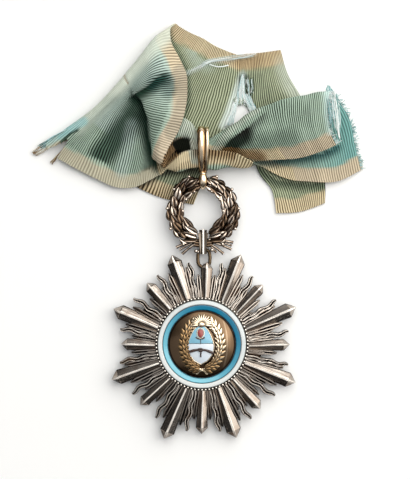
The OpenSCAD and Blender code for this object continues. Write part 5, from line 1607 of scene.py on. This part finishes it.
# the torn end: from and to which share of the width, how many, how long in mm, their dyes
fringes = [
    (0.02, 0.42, 240, 1.3, ["teal", "blue", "paleThread", "teal"]),
    (0.0, 0.1, 50, 0.9, ["cream", "paleCream", "thread"]),
    (0.55, 0.99, 160, 1.6, ["thread", "paleThread", "seaGreen", "thread"]),
]
for low, high, count, long, dyes in fringes:
    addThreads(fringePaths(low, high, count, long, threadRng), 0.08, dyes)
# Loose thread: each strand has its own dye, soft and without ribs
looseThread, tree, shader = newMaterial("loose silk and cotton thread")
fill(tree, shader, {"Base Color": toneOf(tree)["Color"], "Roughness": 0.55})
threadPiece = newPiece("looseThreads", threadParts, looseThread, smooth=60,
                       colours=np.concatenate(threadTones))
print("ribbon made")

# Stage, light and camera
# Paper under the badge: nearly white and without any shine
floorMaterial, tree, shader = newMaterial("matt white paper")
fill(tree, shader, {"Base Color": rgba("#f4f4f3"), "Roughness": 0.9})
sheetHalf, sheetTop = 1200 * mm, -0.1 * mm
corners = [(sheetHalf * x, sheetHalf * y, sheetTop) for x, y in ((-1, -1), (1, -1), (1, 1), (-1, 1))]
floorMesh = bpy.data.meshes.new("floor")
floorMesh.from_pydata(corners, [], [(0, 1, 2, 3)])
floorMesh.materials.append(floorMaterial)
floor = addObject("floor", floorMesh)

studio = {
    # the room is bright overhead and towards the top right of the picture, dark to the lower
    # left: its brightness by how far a direction turns towards the bright one
    "bright": (0.45, 0.45, 0.77),
    "room": [(0.0, 0.04), (0.5, 0.07), (0.64, 0.14), (0.78, 0.45), (0.9, 1.0), (1.0, 1.1)],
    "lamps": [
        # name, place in mm, looks at, size in mm, power in watts, colour
        ("keyAbove", (230, 400, 520), (0, 40, 0), 1000, 4.4, "#fffdf8"),
        ("stripRight", (480, 60, 190), (0, 0, 0), 520, 0.95, "#fff8f0"),
        ("fillLeft", (-420, -160, 520), (0, 40, 0), 640, 0.4, "#f4f8ff"),
    ],
}
world = bpy.data.worlds.new("studio")
bpy.context.scene.world = world
world.use_nodes = True
tree = world.node_tree
tree.nodes.clear()
ahead = unit(np.array(studio["bright"]))
direction = addNode(tree, "ShaderNodeTexCoord").outputs["Generated"]
towards = vectorOf(tree, "DOT_PRODUCT", "Value", direction, tuple(ahead))
share = mathOf(tree, "MULTIPLY_ADD", towards, 0.5, 0.5)
background = addNode(tree, "ShaderNodeBackground", links={
    "Color": addRamp(tree, share, studio["room"]), "Strength": 1.0})
addNode(tree, "ShaderNodeOutputWorld", links={"Surface": background.outputs[0]})


# Puts a thing at its place in mm and turns it so that its own -Z looks at the target
def aimed(thing, place, target):
    thing.location = np.array(place) * mm
    away = unit(np.array(place, float) - np.array(target, float))
    sideways = unit(np.cross([0, 1, 0] if abs(away[1]) < 0.95 else [0, 0, 1], away))
    upward = np.cross(away, sideways)
    thing.rotation_euler = mathutils.Matrix(np.stack([sideways, upward, away], 1).tolist()).to_euler()


for name, place, target, size, power, tone in studio["lamps"]:
    lamp = bpy.data.lights.new(name, "AREA")
    lamp.shape = "DISK"
    lamp.size = size * mm
    lamp.energy = power
    lamp.color = hexColour(tone)
    aimed(addObject(name, lamp), place, target)

# The camera looks straight down, like the photo. One pixel of the photo is pixelSize in mm, and
# originPixel is where x and y of the frame are 0, counted from the photo's top left
view = {"pixels": (410, 479), "pixelSize": 0.35, "originPixel": (201.9, 343.1), "lens": 85, "sensor": 24}
camera = bpy.data.cameras.new("camera")
camera.sensor_fit = "VERTICAL"
camera.lens = view["lens"]
camera.sensor_height = view["sensor"]
distance = view["pixels"][1] * view["pixelSize"] / view["sensor"] * view["lens"]
right = (view["pixels"][0] / 2 - view["originPixel"][0]) * view["pixelSize"]
up = (view["originPixel"][1] - view["pixels"][1] / 2) * view["pixelSize"]
cameraObject = addObject("camera", camera)
cameraObject.location = (right * mm, up * mm, distance * mm)
bpy.context.scene.camera = cameraObject
bpy.context.scene.view_settings.view_transform = "Standard"
print("stage ready")
